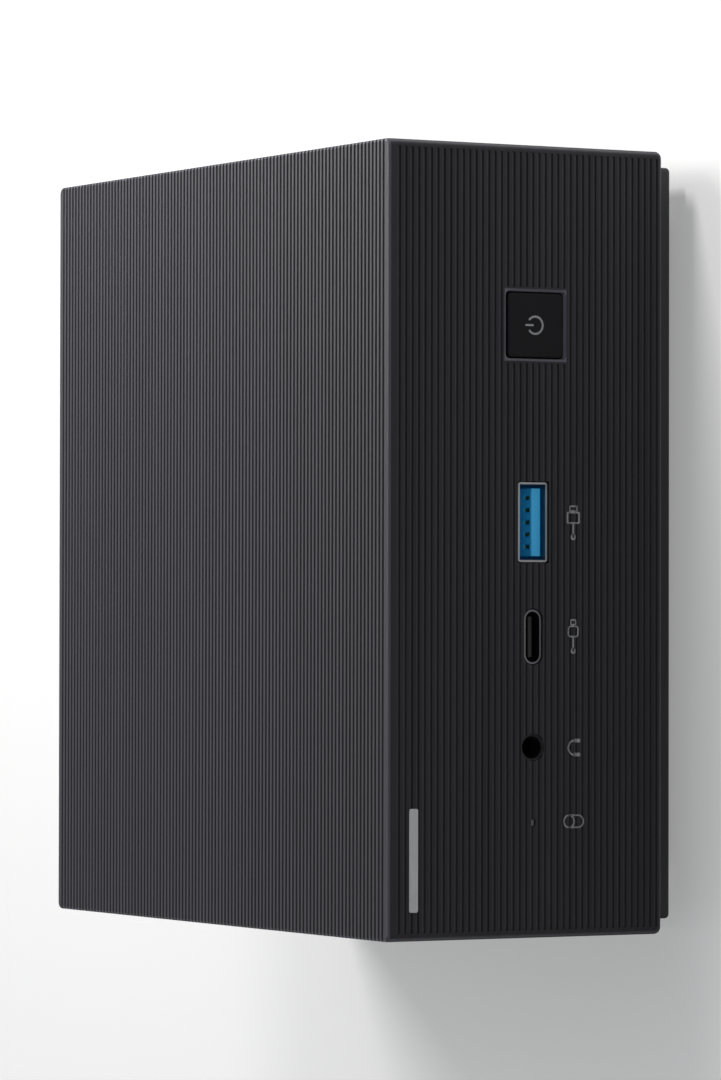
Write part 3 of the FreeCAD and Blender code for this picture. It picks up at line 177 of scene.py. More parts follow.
class Surface:
    """A material being written; point is the position in millimetres in the object's frame."""

    def __init__(self, name):
        self.name = name
        self.material = bpy.data.materials.new(name)
        self.material.use_nodes = True
        self.tree = self.material.node_tree
        self.tree.nodes.clear()
        self.output = add_node(self.tree, "ShaderNodeOutputMaterial")
        self.shader = add_node(self.tree, "ShaderNodeBsdfPrincipled")
        plug(self.output.inputs["Surface"], Field(self.shader))
        self.point = Field(add_node(self.tree, "ShaderNodeTexCoord"), "Object").scaled(1000.0)
        self.normal = None

    def geometry(self, output):
        return Field(add_node(self.tree, "ShaderNodeNewGeometry"), output)

    def soften(self, radius):
        """Rounds the edges that the light sees, and returns how much of an edge a point is."""
        radius_input = {"Radius": radius * MM}
        self.normal = Field(add_node(self.tree, "ShaderNodeBevel", radius_input, samples=6))
        inputs = {0: self.normal, 1: self.geometry("Normal")}
        dot = add_node(self.tree, "ShaderNodeVectorMath", inputs, operation="DOT_PRODUCT")
        return Field(dot, "Value").ramp(0.995, 0.86)

    def bump(self, height, depth):
        inputs = {"Strength": 1.0, "Distance": depth * MM, "Height": height}
        if self.normal is not None:
            inputs["Normal"] = self.normal
        self.normal = Field(add_node(self.tree, "ShaderNodeBump", inputs))

    def finish(self, color, rough, metal=0.0, **more):
        """Fills the shader; more holds other inputs, with underscores for spaces."""
        inputs = {"Base Color": color, "Roughness": rough, "Metallic": metal}
        inputs.update((name.replace("_", " "), value) for name, value in more.items())
        if self.normal is not None:
            inputs["Normal"] = self.normal
        for name, value in inputs.items():
            plug(self.shader.inputs[name], value)
        finishes[self.name] = self.material
        return self.material

    def see_through(self, amount):
        clear = add_node(self.tree, "ShaderNodeBsdfTransparent")
        inputs = {0: amount, 1: Field(self.shader), 2: Field(clear)}
        both = add_node(self.tree, "ShaderNodeMixShader", inputs)
        plug(self.output.inputs["Surface"], Field(both))


# =============================================================== materials
def plastic(name, color, rough=0.46, grain=0.14, depth=0.006, vary=0.16, edge=0.05, wear=1.5,
            specular=0.5, **more):
    """Moulded plastic: eroded grain, slow tone drift and polished edges.

    grain is the grain's size and depth its relief, vary the drift of tone, edge the rounding
    radius, wear the brightness of rubbed edges.
    """
    mat = Surface(name)
    rim = mat.soften(edge)
    drift = mat.point.noise(scale=0.045, rough=0.6)
    fine = mat.point.noise(scale=1.0 / grain, rough=0.7)
    patches = mat.point.noise(scale=0.9, detail=4.0, rough=0.6)
    tone = mix(drift.ramp(0.3, 0.7), shade(color, 1 - vary), shade(color, 1 + vary))
    tone = mix(fine.ramp(0.35, 0.75, to=(0, 0.25)), tone, shade(color, 1.35))
    tone = mix(rim * patches.ramp(0.35, 0.7, to=(0.1, 0.55)), tone, shade(color, wear))
    matte = fine.ramp(0.2, 0.8, to=(rough - 0.05, rough + 0.07))
    matte = matte + patches.ramp(0.3, 0.7, to=(-0.04, 0.05))
    matte = matte - rim * 0.08
    mat.bump(fine, depth)
    return mat.finish(tone, rough=matte, Specular_IOR_Level=specular, **more)


def metal(name, color, rough=0.26, lay=(0.06, 1.0, 1.0), depth=0.003, vary=0.1, stain=0.5,
          scale=9.0, lined=None):
    """Drawn or brushed metal: fine lay, faint stains and brighter edges.

    lay stretches the brushing along the axis with the smallest number, scale is its fineness.
    The box lined (ranges of x, y and z) holds a black plastic lining.
    """
    mat = Surface(name)
    rim = mat.soften(0.05)
    lines = mat.point.stretch(*lay).noise(scale=scale, rough=0.6)
    slow = mat.point.noise(scale=0.16, detail=4.0, rough=0.6)
    spots = mat.point.noise(scale=1.7, rough=0.6)
    tone = mix(lines.ramp(0.3, 0.7), shade(color, 1 - vary), shade(color, 1 + vary))
    tone = mix(slow.ramp(0.5, 0.75, to=(0, stain * 0.5)), tone, shade(color, 0.62))
    tone = mix(rim * 0.5, tone, shade(color, 1.2))
    matte = lines.ramp(0.25, 0.75, to=(rough - 0.07, rough + 0.09))
    matte = matte + spots.ramp(0.4, 0.7, to=(0.0, 0.08))
    mat.bump(lines, depth)
    if lined is None:
        return mat.finish(tone, rough=matte, metal=1.0)
    inside = 1.0
    for along, (low, high) in zip(mat.point.split(), lined):
        within = along.ramp(low - 0.02, low + 0.02) * along.ramp(high + 0.02, high - 0.02)
        inside = inside * within
    tone = mix(inside, tone, (0.012, 0.012, 0.013))
    return mat.finish(tone, rough=matte + inside * 0.2, metal=1.0 - inside)


def cover_material():
    """Charcoal shell: each rib has its own tone; painted shade darkens the front and sides, painted
    light makes their grooves paler, and painted highlights brighten the edges and the button's seat.
    """
    mat = Surface("cover_charcoal")
    rim = mat.soften(0.09)
    x, y, z = mat.point.split()
    # height above the groove floors, whichever face the point is on
    top = z - 57.68
    front = -59.68 - y
    side = abs(x) - 64.68
    crest = larger(larger(top, front), side).ramp(0.02, 0.26, smooth=True)
    lid = z.ramp(57.55, 57.62)

    # tones drawn out along the ribs
    rib = mat.point.stretch(0.006, 0.84, 0.84).noise(detail=2.0, rough=0.7)
    drift = mat.point.stretch(0.02, 0.05, 0.05).noise(rough=0.6)
    streak = mat.point.stretch(0.09, 2.4, 2.4).noise(rough=0.65)
    fine = mat.point.noise(scale=8.0, rough=0.7)
    base = (0.0455, 0.0437, 0.0528)
    tone = mix(rib.ramp(0.3, 0.7), shade(base, 0.8), shade(base, 1.24))
    tone = mix(drift.ramp(0.3, 0.7, to=(0, 0.4)), tone, shade(base, 0.86))
    tone = mix(streak.ramp(0.35, 0.75, to=(0, 0.35)), tone, shade(base, 1.3))
    # painted shade: every face but the top is darkened to 0.64 of the top's tone
    tone = tone.scaled(lid.ramp(0, 1, to=(0.64, 1.0)))
    # painted light: off the top, the grooves are lifted to twice that, paler than the crests,
    # against the shade they sit in
    tone = mix(crest, tone.scaled(lid.ramp(0, 1, to=(2.0, 1.0))), tone)
    tone = mix(fine.ramp(0.35, 0.7, to=(0, 0.22)), tone, shade(base, 1.45))
    # painted highlight along every rounded edge of the shell
    tone = mix(rim * 0.22, tone, shade(base, 2.1))

    # painted highlight: the shell's edges and the sloping seat of the button are smoother and a
    # little paler
    at_top = z.ramp(57.56, 57.62)
    at_front = y.ramp(-59.56, -59.62)
    at_back = y.ramp(59.4, 59.5)
    at_side = abs(x).ramp(64.56, 64.62)
    upper_edge = at_top * larger(larger(at_front, at_back), at_side)
    corner = larger(upper_edge, at_front * at_side * 0.6)
    from_button = larger(abs(x - BUTTON_X), abs(z - BUTTON_Z))
    seat = from_button.ramp(5.46, 5.5) * from_button.ramp(5.93, 5.88) * y.ramp(-58.0, -59.5)
    painted_highlight_edges = larger(corner, seat)
    tone = mix(painted_highlight_edges * 0.8, tone, shade(base, 2.3))
    # painted highlight on the button's seat, paler still
    tone = mix(seat * 0.5, tone, shade(base, 4.2))

    matte = fine.ramp(0.2, 0.8, to=(0.42, 0.54)) + streak.ramp(0.3, 0.7, to=(-0.05, 0.06))
    matte = matte + crest.ramp(0, 1, to=(0.03, 0.0))
    matte = matte - painted_highlight_edges * 0.12
    mat.bump(fine, depth=0.005)
    mat.bump(streak, depth=0.006)
    groove_shine = lid.ramp(0, 1, to=(0.45, 0.5))
    crest_shine = lid.ramp(0, 1, to=(0.13, 0.47))
    shine = groove_shine + crest * (crest_shine - groove_shine)
    mat.finish(tone, rough=matte, Specular_IOR_Level=shine)


def board_material(name, base, light):
    """Circuit board: solder mask over copper runs, vias with bare rings, laminate edge."""
    mat = Surface(name)
    x, y, _ = mat.point.split()
    flat = Field(add_node(mat.tree, "ShaderNodeCombineXYZ", {0: x, 1: y, 2: 0.0}))
    slow = flat.noise(scale=0.06, detail=2.0)

    # runs: thin lines in two directions, 0.62 apart, switched in patches
    wobble = (flat.stretch(0.12, 0.12, 0).cells() - 0.5) * 3.0
    across_x, across_y = [
        abs(math_node("FRACT", (along + wobble) / 0.62) - 0.5).ramp(0.3, 0.36)
        for along in (x, y)]
    direction, kind, filled = flat.stretch(0.09, 0.11, 0).cells(output="Color").split()
    runs = across_x * direction.ramp(0.49, 0.51) + across_y * direction.ramp(0.51, 0.49)
    runs = runs * kind.ramp(0.3, 0.32)
    planes = kind.ramp(0.32, 0.3) * filled.ramp(0.4, 0.42)
    copper = larger(runs, planes)

    via = flat.cells(scale=0.42, metric="EUCLIDEAN", randomness=0.85)
    ring = via.ramp(0.13, 0.115) * via.ramp(0.05, 0.06)
    hole = via.ramp(0.055, 0.045)
    tone = mix(slow.ramp(0.35, 0.65), shade(base, 0.85), shade(base, 1.15))
    tone = mix(copper * 0.75, tone, light)
    tone = mix(ring, tone, (0.78, 0.58, 0.27))
    # painted shade: the via holes are near-black dots, as the board has no real holes
    tone = mix(hole, tone, (0.004, 0.004, 0.004))
    flat_face = abs(mat.geometry("Normal").split()[2]).ramp(0.5, 0.6)
    weave = mat.point.stretch(1.2, 1.2, 7.0).noise(scale=2.0)
    laminate = mix(weave.ramp(0.35, 0.7), (0.1, 0.13, 0.05), (0.22, 0.22, 0.1))
    tone = mix(flat_face, laminate, tone)
    matte = copper.ramp(0, 1, to=(0.34, 0.27)) + slow.ramp(0.3, 0.7, to=(-0.03, 0.06))
    mat.bump(copper * 0.6 + ring, depth=0.03)
    mat.finish(tone, rough=matte, metal=ring * flat_face, Specular_IOR_Level=0.6)


def rubber_material():
    """Dusty black rubber."""
    mat = Surface("foot_rubber")
    rim = mat.soften(0.25)
    fine = mat.point.noise(scale=5.0, detail=4.0, rough=0.7)
    dust = mat.point.noise(scale=0.7, detail=4.0, rough=0.65)
    tone = mix(fine.ramp(0.3, 0.7), (0.012, 0.012, 0.013), (0.026, 0.026, 0.027))
    tone = mix(dust.ramp(0.5, 0.75, to=(0, 0.35)), tone, (0.07, 0.068, 0.064))
    tone = mix(rim * 0.4, tone, (0.06, 0.06, 0.06))
    mat.bump(fine, depth=0.03)
    matte = dust.ramp(0.3, 0.7, to=(0.72, 0.9))
    mat.finish(tone, rough=matte, Specular_IOR_Level=0.35)


def powder_material():
    """Powder-coated sheet: orange peel with fine speckle."""
    mat = Surface("panel_powder")
    rim = mat.soften(0.12)
    peel = mat.point.noise(scale=1.5, detail=2.0)
    speck = mat.point.noise(scale=6.0, rough=0.75)
    tone = mix(speck.ramp(0.4, 0.7), (0.018, 0.018, 0.02), (0.04, 0.04, 0.043))
    tone = mix(rim * 0.35, tone, (0.09, 0.09, 0.095))
    mat.bump(peel, depth=0.02)
    mat.bump(speck, depth=0.008)
    matte = peel.ramp(0.3, 0.7, to=(0.42, 0.56))
    mat.finish(tone, rough=matte, Specular_IOR_Level=0.5)


def copper_material():
    """Copper drawn along Y, darkened by patches of oxide."""
    mat = Surface("copper_drawn")
    rim = mat.soften(0.08)
    lines = mat.point.stretch(1.0, 0.1, 1.0).noise(scale=7.0, rough=0.6)
    oxide = mat.point.noise(scale=0.25, detail=5.0, rough=0.65, distort=0.6)
    tone = mix(lines.ramp(0.3, 0.7), (0.82, 0.38, 0.22), (0.9, 0.46, 0.29))
    stained = oxide.ramp(0.42, 0.78, to=(0, 0.4), smooth=True)
    tone = mix(stained, tone, (0.42, 0.18, 0.11))
    tone = mix(rim * 0.5, tone, (0.97, 0.6, 0.42))
    mat.bump(lines, depth=0.0012)
    mat.finish(tone, rough=oxide.ramp(0.35, 0.7, to=(0.27, 0.4)), metal=1.0)


def winding_material():
    """Enamelled wire wound in level turns, with painted shade in the creases between turns and
    painted highlight on their crowns.
    """
    mat = Surface("motor_winding")
    turns = math_node("SINE", mat.point.split()[2] * 26.0)
    patches = mat.point.noise(scale=2.0)
    tone = mix(turns.ramp(-0.6, 0.6), (0.35, 0.12, 0.04), (0.78, 0.36, 0.16))
    tone = mix(patches.ramp(0.55, 0.7, to=(0, 0.5)), tone, (0.2, 0.07, 0.03))
    mat.bump(turns, depth=0.06)
    mat.finish(tone, rough=0.3, metal=0.85)


def ink_material(name, color, on_ribs=False):
    """Pad-printed ink; on the ribs it turns half clear over the grooves."""
    mat = Surface(name)
    fine = mat.point.noise(scale=7.0, rough=0.7)
    tone = mix(fine.ramp(0.3, 0.7), shade(color, 0.8), shade(color, 1.1))
    mat.finish(tone, rough=fine.ramp(0.3, 0.7, to=(0.5, 0.7)), Specular_IOR_Level=0.3)
    if on_ribs:
        height = mat.point.split()[2]
        phase = math_node("FRACT", (height - FIRST_GROOVE) / GROOVE_PITCH + 0.5)
        from_groove = abs(phase - 0.5) * GROOVE_PITCH
        mat.see_through(from_groove.ramp(0.34, 0.22, to=(0.0, 0.5)))


def light_pipe_material():
    """Cloudy clear plastic."""
    mat = Surface("light_pipe_clear")
    rim = mat.soften(0.06)
    cloud = mat.point.noise(scale=5.0)
    tone = mix(cloud.ramp(0.3, 0.7), (0.13, 0.135, 0.145), (0.2, 0.205, 0.22))
    tone = mix(rim * 0.4, tone, (0.34, 0.34, 0.36))
    mat.bump(cloud, depth=0.01)
    mat.finish(tone, rough=0.3, Subsurface_Weight=0.3, Subsurface_Scale=0.0008)


def floor_material():
    """Pale matte floor that lets the camera and the lamps see the underside from below."""
    mat = Surface("floor_pale")
    slow = mat.point.noise(scale=0.004)
    fine = mat.point.noise(scale=0.6)
    tone = mix(slow.ramp(0.3, 0.7), (0.70, 0.70, 0.695), (0.75, 0.75, 0.745))
    tone = mix(fine.ramp(0.3, 0.7, to=(0, 0.12)), tone, (0.78, 0.78, 0.775))
    mat.bump(fine, depth=0.01)
    path = add_node(mat.tree, "ShaderNodeLightPath")
    to_camera = Field(path, "Is Camera Ray")
    matte = fine.ramp(0.2, 0.8, to=(0.62, 0.72))
    mat.finish(tone, rough=matte, Specular_IOR_Level=0.25,
               Emission_Color=(1.0, 1.0, 0.995), Emission_Strength=to_camera * 0.27)
    from_below = to_camera * mat.geometry("Backfacing")
    mat.see_through(larger(Field(path, "Is Shadow Ray"), from_below))
    return mat.material


cover_material()
plastic("base_black", (0.022, 0.022, 0.024), rough=0.5, grain=0.35, depth=0.02)
powder_material()
plastic("frame_black", (0.03, 0.03, 0.032), rough=0.52, grain=0.2, depth=0.008)
plastic("button_black", (0.0076, 0.0074, 0.0092), rough=0.42, grain=0.1, depth=0.002, vary=0.1,
        wear=2.6, edge=0.08, specular=0.13)
plastic("socket_black", (0.013, 0.013, 0.014), rough=0.42, grain=0.18, wear=2.2)
# blue tongues: painted light, a blue brighter than the plastic plus a faint glow, lifting the
# tongues out of the shade inside their openings
plastic("socket_blue", (0.045, 0.52, 0.98), rough=0.36, grain=0.2, depth=0.004, vary=0.08,
        wear=1.1, Subsurface_Weight=0.15, Subsurface_Scale=0.0006,
        Emission_Color=(0.01, 0.33, 0.9), Emission_Strength=0.06)
plastic("fan_black", (0.014, 0.014, 0.016), rough=0.36, grain=0.3, wear=2.0)
plastic("chip_epoxy", (0.016, 0.016, 0.018), rough=0.5, grain=0.12, wear=2.0)
plastic("coil_ferrite", (0.085, 0.085, 0.09), rough=0.62, grain=0.16, depth=0.03, wear=1.6)
plastic("bonded_magnet", (0.045, 0.042, 0.04), rough=0.6, grain=0.2, depth=0.02)
plastic("cable_jacket", (0.018, 0.018, 0.02), rough=0.4, grain=0.4, depth=0.004)
plastic("antenna_film", (0.16, 0.09, 0.03), rough=0.3, grain=0.5, depth=0.004)
metal("plated_steel", (0.66, 0.66, 0.67), rough=0.25)
metal("lined_steel", (0.66, 0.66, 0.67), rough=0.25,
      lined=((-23.3, -11.1), (46.4, 58.35), (27.9, 37.7)))
# front socket shells: the plated steel darkened as painted shade, deeper on the type C shell
metal("steel_deep_painted_shade", (0.2, 0.2, 0.21), rough=0.34)
metal("steel_painted_shade", (0.4, 0.4, 0.41), rough=0.34)
metal("screw_zinc", (0.34, 0.34, 0.36), rough=0.33, lay=(1, 1, 1), scale=5.0)
metal("galvanised_sheet", (0.6, 0.61, 0.62), rough=0.34, lay=(0.3, 0.3, 0.3), scale=2.0,
      vary=0.16, stain=0.8)
metal("lid_steel", (0.55, 0.55, 0.57), rough=0.3, lay=(0.05, 1, 1), scale=8.0)
metal("fin_aluminium", (0.78, 0.79, 0.8), rough=0.3, lay=(1, 0.2, 1), scale=5.0)
metal("can_aluminium", (0.74, 0.74, 0.76), rough=0.28, lay=(1, 1, 0.1), scale=6.0)
metal("contact_gold", (0.86, 0.62, 0.25), rough=0.22, scale=12.0)
metal("turned_brass", (0.72, 0.53, 0.22), rough=0.28, lay=(1, 1, 3), scale=6.0)
metal("sintered_bronze", (0.5, 0.34, 0.17), rough=0.45, lay=(1, 1, 1), scale=6.0, depth=0.02)
copper_material()
winding_material()
rubber_material()
board_material("board_green", base=(0.004, 0.03, 0.019), light=(0.008, 0.07, 0.04))
board_material("board_black", base=(0.006, 0.007, 0.009), light=(0.014, 0.017, 0.022))
light_pipe_material()
ink_material("ink_grey", (0.33, 0.33, 0.34), on_ribs=True)
ink_material("ink_pale", (0.36, 0.36, 0.37))
metal("solder_tin", (0.7, 0.7, 0.7), rough=0.35, lay=(1, 1, 1), scale=4.0, depth=0.02)
plastic("ceramic_tan", (0.33, 0.22, 0.13), rough=0.5, grain=0.2, depth=0.01, wear=1.2)
metal("badge_satin", (0.5, 0.5, 0.52), rough=0.32, lay=(0.05, 1, 1))
plastic("lan_green", (0.12, 0.4, 0.1), rough=0.3, grain=0.3, depth=0.004,
        Subsurface_Weight=0.3, Subsurface_Scale=0.001)

# material: the CAD pieces that wear it
DRESS = {
    "cover_charcoal": "top_cover",
    "base_black": "bottom_cover",
    "foot_rubber": "rubber_feet",
    "screw_zinc": "cover_screws bracket_rivets frame_screws board_screws cold_plate_screws "
                  "fan_screws rear_panel_screws card_screws",
    "galvanised_sheet": "drive_bracket",
    "frame_black": "mid_frame button_guide",
    "board_green": "mainboard processor wifi_card",
    "board_black": "memory_modules ssd_board",
    "copper_drawn": "heat_pipes cold_plate",
    "fin_aluminium": "fin_stack",
    "fan_black": "fan_housing fan_impeller",
    "lid_steel": "fan_lid",
    "sintered_bronze": "fan_bearing",
    "motor_winding": "fan_stator",
    "bonded_magnet": "fan_magnet",
    "plated_steel": "fan_shaft video_socket_shells rear_usb_shells",
    "button_black": "power_button",
    "socket_black": "power_switch switch_plunger front_usb_c_tongue headset_jack dc_jack "
                    "video_socket_tongues memory_sockets card_sockets coin_cell_holder",
    "socket_blue": "front_usb_a_tongue rear_usb_tongues",
    "light_pipe_clear": "activity_light_pipe",
    "steel_painted_shade": "front_usb_a_shell",
    "steel_deep_painted_shade": "front_usb_c_shell",
    "contact_gold": "front_usb_a_contacts lan_contacts",
    "panel_powder": "rear_panel",
    "lined_steel": "lan_socket",
    "lan_green": "lan_lights",
    "chip_epoxy": "module_chips board_chips",
    "turned_brass": "board_standoffs",
    "cable_jacket": "antenna_cables",
    "antenna_film": "antennas",
    "can_aluminium": "coin_cell capacitors",
    "coil_ferrite": "power_inductors",
}
for finish_name, pieces in DRESS.items():
    for piece_name in pieces.split():
        piece = frame["nodes"][piece_name]
        if not piece.material_slots:
            piece.data.materials.append(None)
        for material_slot in piece.material_slots:
            material_slot.link = "OBJECT"
            material_slot.material = finishes[finish_name]


# =============================================================== mesh helpers
def place(name, data, body="chassis"):
    thing = bpy.data.objects.new(name, data)
    scene.collection.objects.link(thing)
    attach(thing, body)
    return thing


def add_mesh(name, mesh, materials, slot, body="chassis", bevel=None, segments=1):
    """Makes an object of a bmesh; bevel is the width of its rounded edges."""
    bmesh.ops.recalc_face_normals(mesh, faces=mesh.faces)
    data = bpy.data.meshes.new(name)
    mesh.to_mesh(data)
    mesh.free()
    for material in materials:
        data.materials.append(finishes[material])
    thing = place(name, data, body)
    if bevel:
        edge = thing.modifiers.new("edge", "BEVEL")
        edge.width = bevel * MM
        edge.segments = segments
        edge.limit_method = "ANGLE"
        edge.angle_limit = math.radians(40)


def span(centre, half):
    return centre - half, centre + half


def box(mesh, x_range, y_range, z_range, material=0):
    corners = [mesh.verts.new((x * MM, y * MM, z * MM))
               for x in sorted(x_range) for y in sorted(y_range) for z in sorted(z_range)]
    for quad in ((0, 1, 3, 2), (4, 6, 7, 5), (0, 4, 5, 1), (2, 3, 7, 6), (0, 2, 6, 4), (1, 5, 7, 3)):
        mesh.faces.new([corners[i] for i in quad]).material_index = material


def prism(mesh, loop, y_range):
    """A closed outline in X and Z, made solid over y_range."""
    near, far = [[mesh.verts.new((x * MM, y * MM, z * MM)) for x, z in loop] for y in y_range]
    mesh.faces.new(near)
    mesh.faces.new(far[::-1])
    count = len(loop)
    for i in range(count):
        j = (i + 1) % count
        mesh.faces.new((near[i], far[i], far[j], near[j]))


# Outlines are lists of (x, z).
def on_circle(x, z, radius, angle):
    return x + radius * math.cos(angle), z + radius * math.sin(angle)


def arc(x, z, radius, width, start, end, steps=24):
    """A band along an arc; angles in degrees from +X towards +Z."""
    outer, inner = [
        [on_circle(x, z, edge, math.radians(start + (end - start) * i / steps))
         for i in range(steps + 1)]
        for edge in (radius + width / 2, radius - width / 2)]
    return outer + inner[::-1]


def rounded(x, z, width, height, radius, steps=5):
    """A rectangle with round corners."""
    points = []
    for k, (side_x, side_z) in enumerate(((1, 1), (-1, 1), (-1, -1), (1, -1))):
        corner_x = x + side_x * (width / 2 - radius)
        corner_z = z + side_z * (height / 2 - radius)
        points += [on_circle(corner_x, corner_z, radius, math.radians(90 * k + 90 * i / steps))
                   for i in range(steps + 1)]
    return points


def hollow(x, z, width, height, radius, wall):
    """A rounded frame as two closed halves."""
    outer = rounded(x, z, width, height, radius)
    inner = rounded(x, z, width - 2 * wall, height - 2 * wall, max(radius - wall, 0.02))
    half = len(outer) // 2
    return [outer[:half + 1] + inner[:half + 1][::-1],
            outer[half:] + [outer[0]] + [inner[0]] + inner[half:][::-1]]


def bar(x0, z0, x1, z1, width, steps=6):
    """A stroke with round ends."""
    angle = math.atan2(z1 - z0, x1 - x0)
    return [on_circle(x, z, width / 2, angle + turn + math.pi * i / steps)
            for x, z, turn in ((x1, z1, -math.pi / 2), (x0, z0, math.pi / 2))
            for i in range(steps + 1)]


def disc(x, z, radius, steps=20):
    return [on_circle(x, z, radius, 2 * math.pi * i / steps) for i in range(steps)]


def prints(name, loops, y_range, material, slot, **options):
    mesh = bmesh.new()
    for loop in loops:
        prism(mesh, loop, y_range)
    add_mesh(name, mesh, [material], slot, **options)


# =============================================================== printed marks
def plug_mark(x, z, square=True):
    """A generic plug with a short lead; square for type A, rounder for type C."""
    if square:
        body_height, body_radius, tip_height, tip_radius = 2.5, 0.3, 1.6, 0.15
    else:
        body_height, body_radius, tip_height, tip_radius = 2.1, 0.6, 1.2, 0.25
    return ([bar(x - 2.5, z, x - 0.35, z, width=0.3), disc(x - 2.5, z, radius=0.5)]
            + hollow(x + 0.7, z, 2.0, body_height, body_radius, wall=0.28)
            + hollow(x + 2.2, z, 1.05, tip_height, tip_radius, wall=0.26))


def headset_mark(x):
    """A band over two cushions."""
    return [arc(x, 22.7, radius=1.2, width=0.3, start=0, end=180, steps=20)] + [
        rounded(x + offset, 22.25, width=0.62, height=1.3, radius=0.25)
        for offset in (-1.15, 1.15)]


def drum_mark(x, top=23.75, bottom=22.0, radius=1.0, width=0.26):
    """A storage drum: a full ring on top, two sides and the lower half of a ring."""
    return [
        arc(x, top, radius, width, 0, 180, steps=14),
        arc(x, top, radius, width, 180, 360, steps=14),
        bar(x - radius, top, x - radius, bottom, width),
        bar(x + radius, top, x + radius, bottom, width),
        arc(x, bottom, radius, width, 180, 360, steps=14),
    ]


def screen_mark(x):
    return hollow(x, 24.3, 2.9, 1.9, radius=0.25, wall=0.24) + [
        bar(x - 0.8, 22.6, x + 0.8, 22.6, width=0.24)]


def network_mark(x, z=23.5):
    """Three boxes joined by a cross line."""
    loops = []
    for offset_x, offset_z in ((0, 0.9), (-1.2, -0.9), (1.2, -0.9)):
        loops += hollow(x + offset_x, z + offset_z, 1.1, 0.9, radius=0.12, wall=0.22)
    return loops + [bar(x, z + 0.35, x, z + 0.1, width=0.22),
                    bar(x - 1.2, z - 0.05, x + 1.2, z - 0.05, width=0.2)]


def power_inlet_mark(x, z=24.4):
    """An open ring round a dot, with a minus at +X and a plus at -X."""
    plus_x = x - 2.45
    return [
        arc(x, z, radius=0.9, width=0.24, start=-60, end=240, steps=20),
        disc(x, z, radius=0.35),
        bar(x + 1.9, z, x + 3.1, z, width=0.22),
        bar(plus_x - 0.55, z, plus_x + 0.55, z, width=0.22),
        bar(plus_x, z - 0.45, plus_x, z + 0.45, width=0.22),
    ]


power_loops = [
    arc(BUTTON_X, BUTTON_Z, radius=1.42, width=0.34, start=125, end=415, steps=32),
    bar(BUTTON_X, BUTTON_Z + 0.45, BUTTON_X, BUTTON_Z + 1.75, width=0.34),
]
prints("power_symbol", power_loops, (-59.905, -59.87), "ink_pale", "button_plastic",
       body="power_button")

front_loops = plug_mark(3.2, 23.0) + plug_mark(-15.5, 23.0, square=False)
front_loops += headset_mark(-33.9) + drum_mark(-46.0)
prints("front_marks", front_loops, (-60.02, -59.99), "ink_grey", "cover_plastic")

# plain bar high on the front
prints("front_bar", [rounded(-51.9, 53.25, width=16.8, height=1.7, radius=0.35)],
       (-60.06, -59.97), "badge_satin", "socket_steel", bevel=0.03, segments=2)

rear_loops = []
for screen_x in (19.2, 1.2, 37.5):
    rear_loops += screen_mark(screen_x)
rear_loops += network_mark(-17.2) + plug_mark(-34.6, 23.6) + plug_mark(-51.4, 23.6)
rear_loops += power_inlet_mark(53.0)
prints("rear_marks", rear_loops, (58.79, 58.815), "ink_pale", "panel_steel")

# =============================================================== small board parts
# board chips with legs: x and y of the low corner, width, depth
CHIPS = [(-14, 4, 10, 10), (-30, 28, 8, 8), (-44, 6, 7, 9),
         (42, -42, 9, 9), (-20, -44, 7, 7), (28, 26, 9, 6)]
# screw and standoff places that stay clear: x, y
CLEAR_SPOTS = [
    (-8, -28), (-8, -20), (-9, 25), (-2, 25), (-16, 25), (53, 26), (46, 30), (-44, 22),
    (-51.5, 22), (-49.6, -30.6), (7.6, -30.6), (7.6, 31.4), (54, -38), (-54, -38), (54, 40),
    (-54, 40)]
# areas with no small parts, as low x, high x, low y, high y
KEEP_TOP = [
    (8.5, 57.5, -25.6, 19.6), (0.4, 8.2, -27.6, 16.4), (-57, -18, -26, -2),
    (10.4, 33.6, -49.6, -26.4), (-4.4, 10.6, -57, -45), (-21, -10.6, -57, -50.4),
    (-38.4, -29.4, -57, -44.4), (26.5, 44.2, -57, -48.4), (-48.4, -44, -57, -53.4),
    (48, 58, 45.6, 57.5), (28.6, 46.6, 46.6, 57.5), (10.8, 27.6, 46.6, 57.5),
    (-7.2, 9.6, 46.6, 57.5), (-26, -8.4, 37.8, 57.5), (-42.4, -27, 40.8, 57.5),
    (-58.4, -44, 43.8, 57.5), (12, 18.5, 21.8, 26.6)]
KEEP_TOP += [(x - 0.8, x + width + 0.8, y - 0.8, y + depth + 0.8) for x, y, width, depth in CHIPS]
KEEP_TOP += [(*span(x, 3.7), *span(y, 3.7)) for x, y in CLEAR_SPOTS]
KEEP_UNDER = [(-38, 38, -52.5, 18.2), (-48.5, 42.5, 23.4, 46.6)]
UNDER_AREAS = [(-49.6, 49.6, -52.6, 48.6), (39, 49.6, -52, 22), (-49.6, -39, -52, 22)]
# length, width and height of a part; the smallest is twice as common
PART_SIZES = ((1.0, 0.5, 0.35), (1.0, 0.5, 0.35), (1.6, 0.8, 0.45), (2.0, 1.25, 0.9))
rng = random.Random(58)


def is_free(x, y, reach, keep, area):
    if not (area[0] + reach < x < area[1] - reach and area[2] + reach < y < area[3] - reach):
        return False
    if abs(x) > 49.5 and y < -45.5:
        return False
    return all(not (x0 - reach < x < x1 + reach and y0 - reach < y < y1 + reach)
               for x0, x1, y0, y1 in keep)


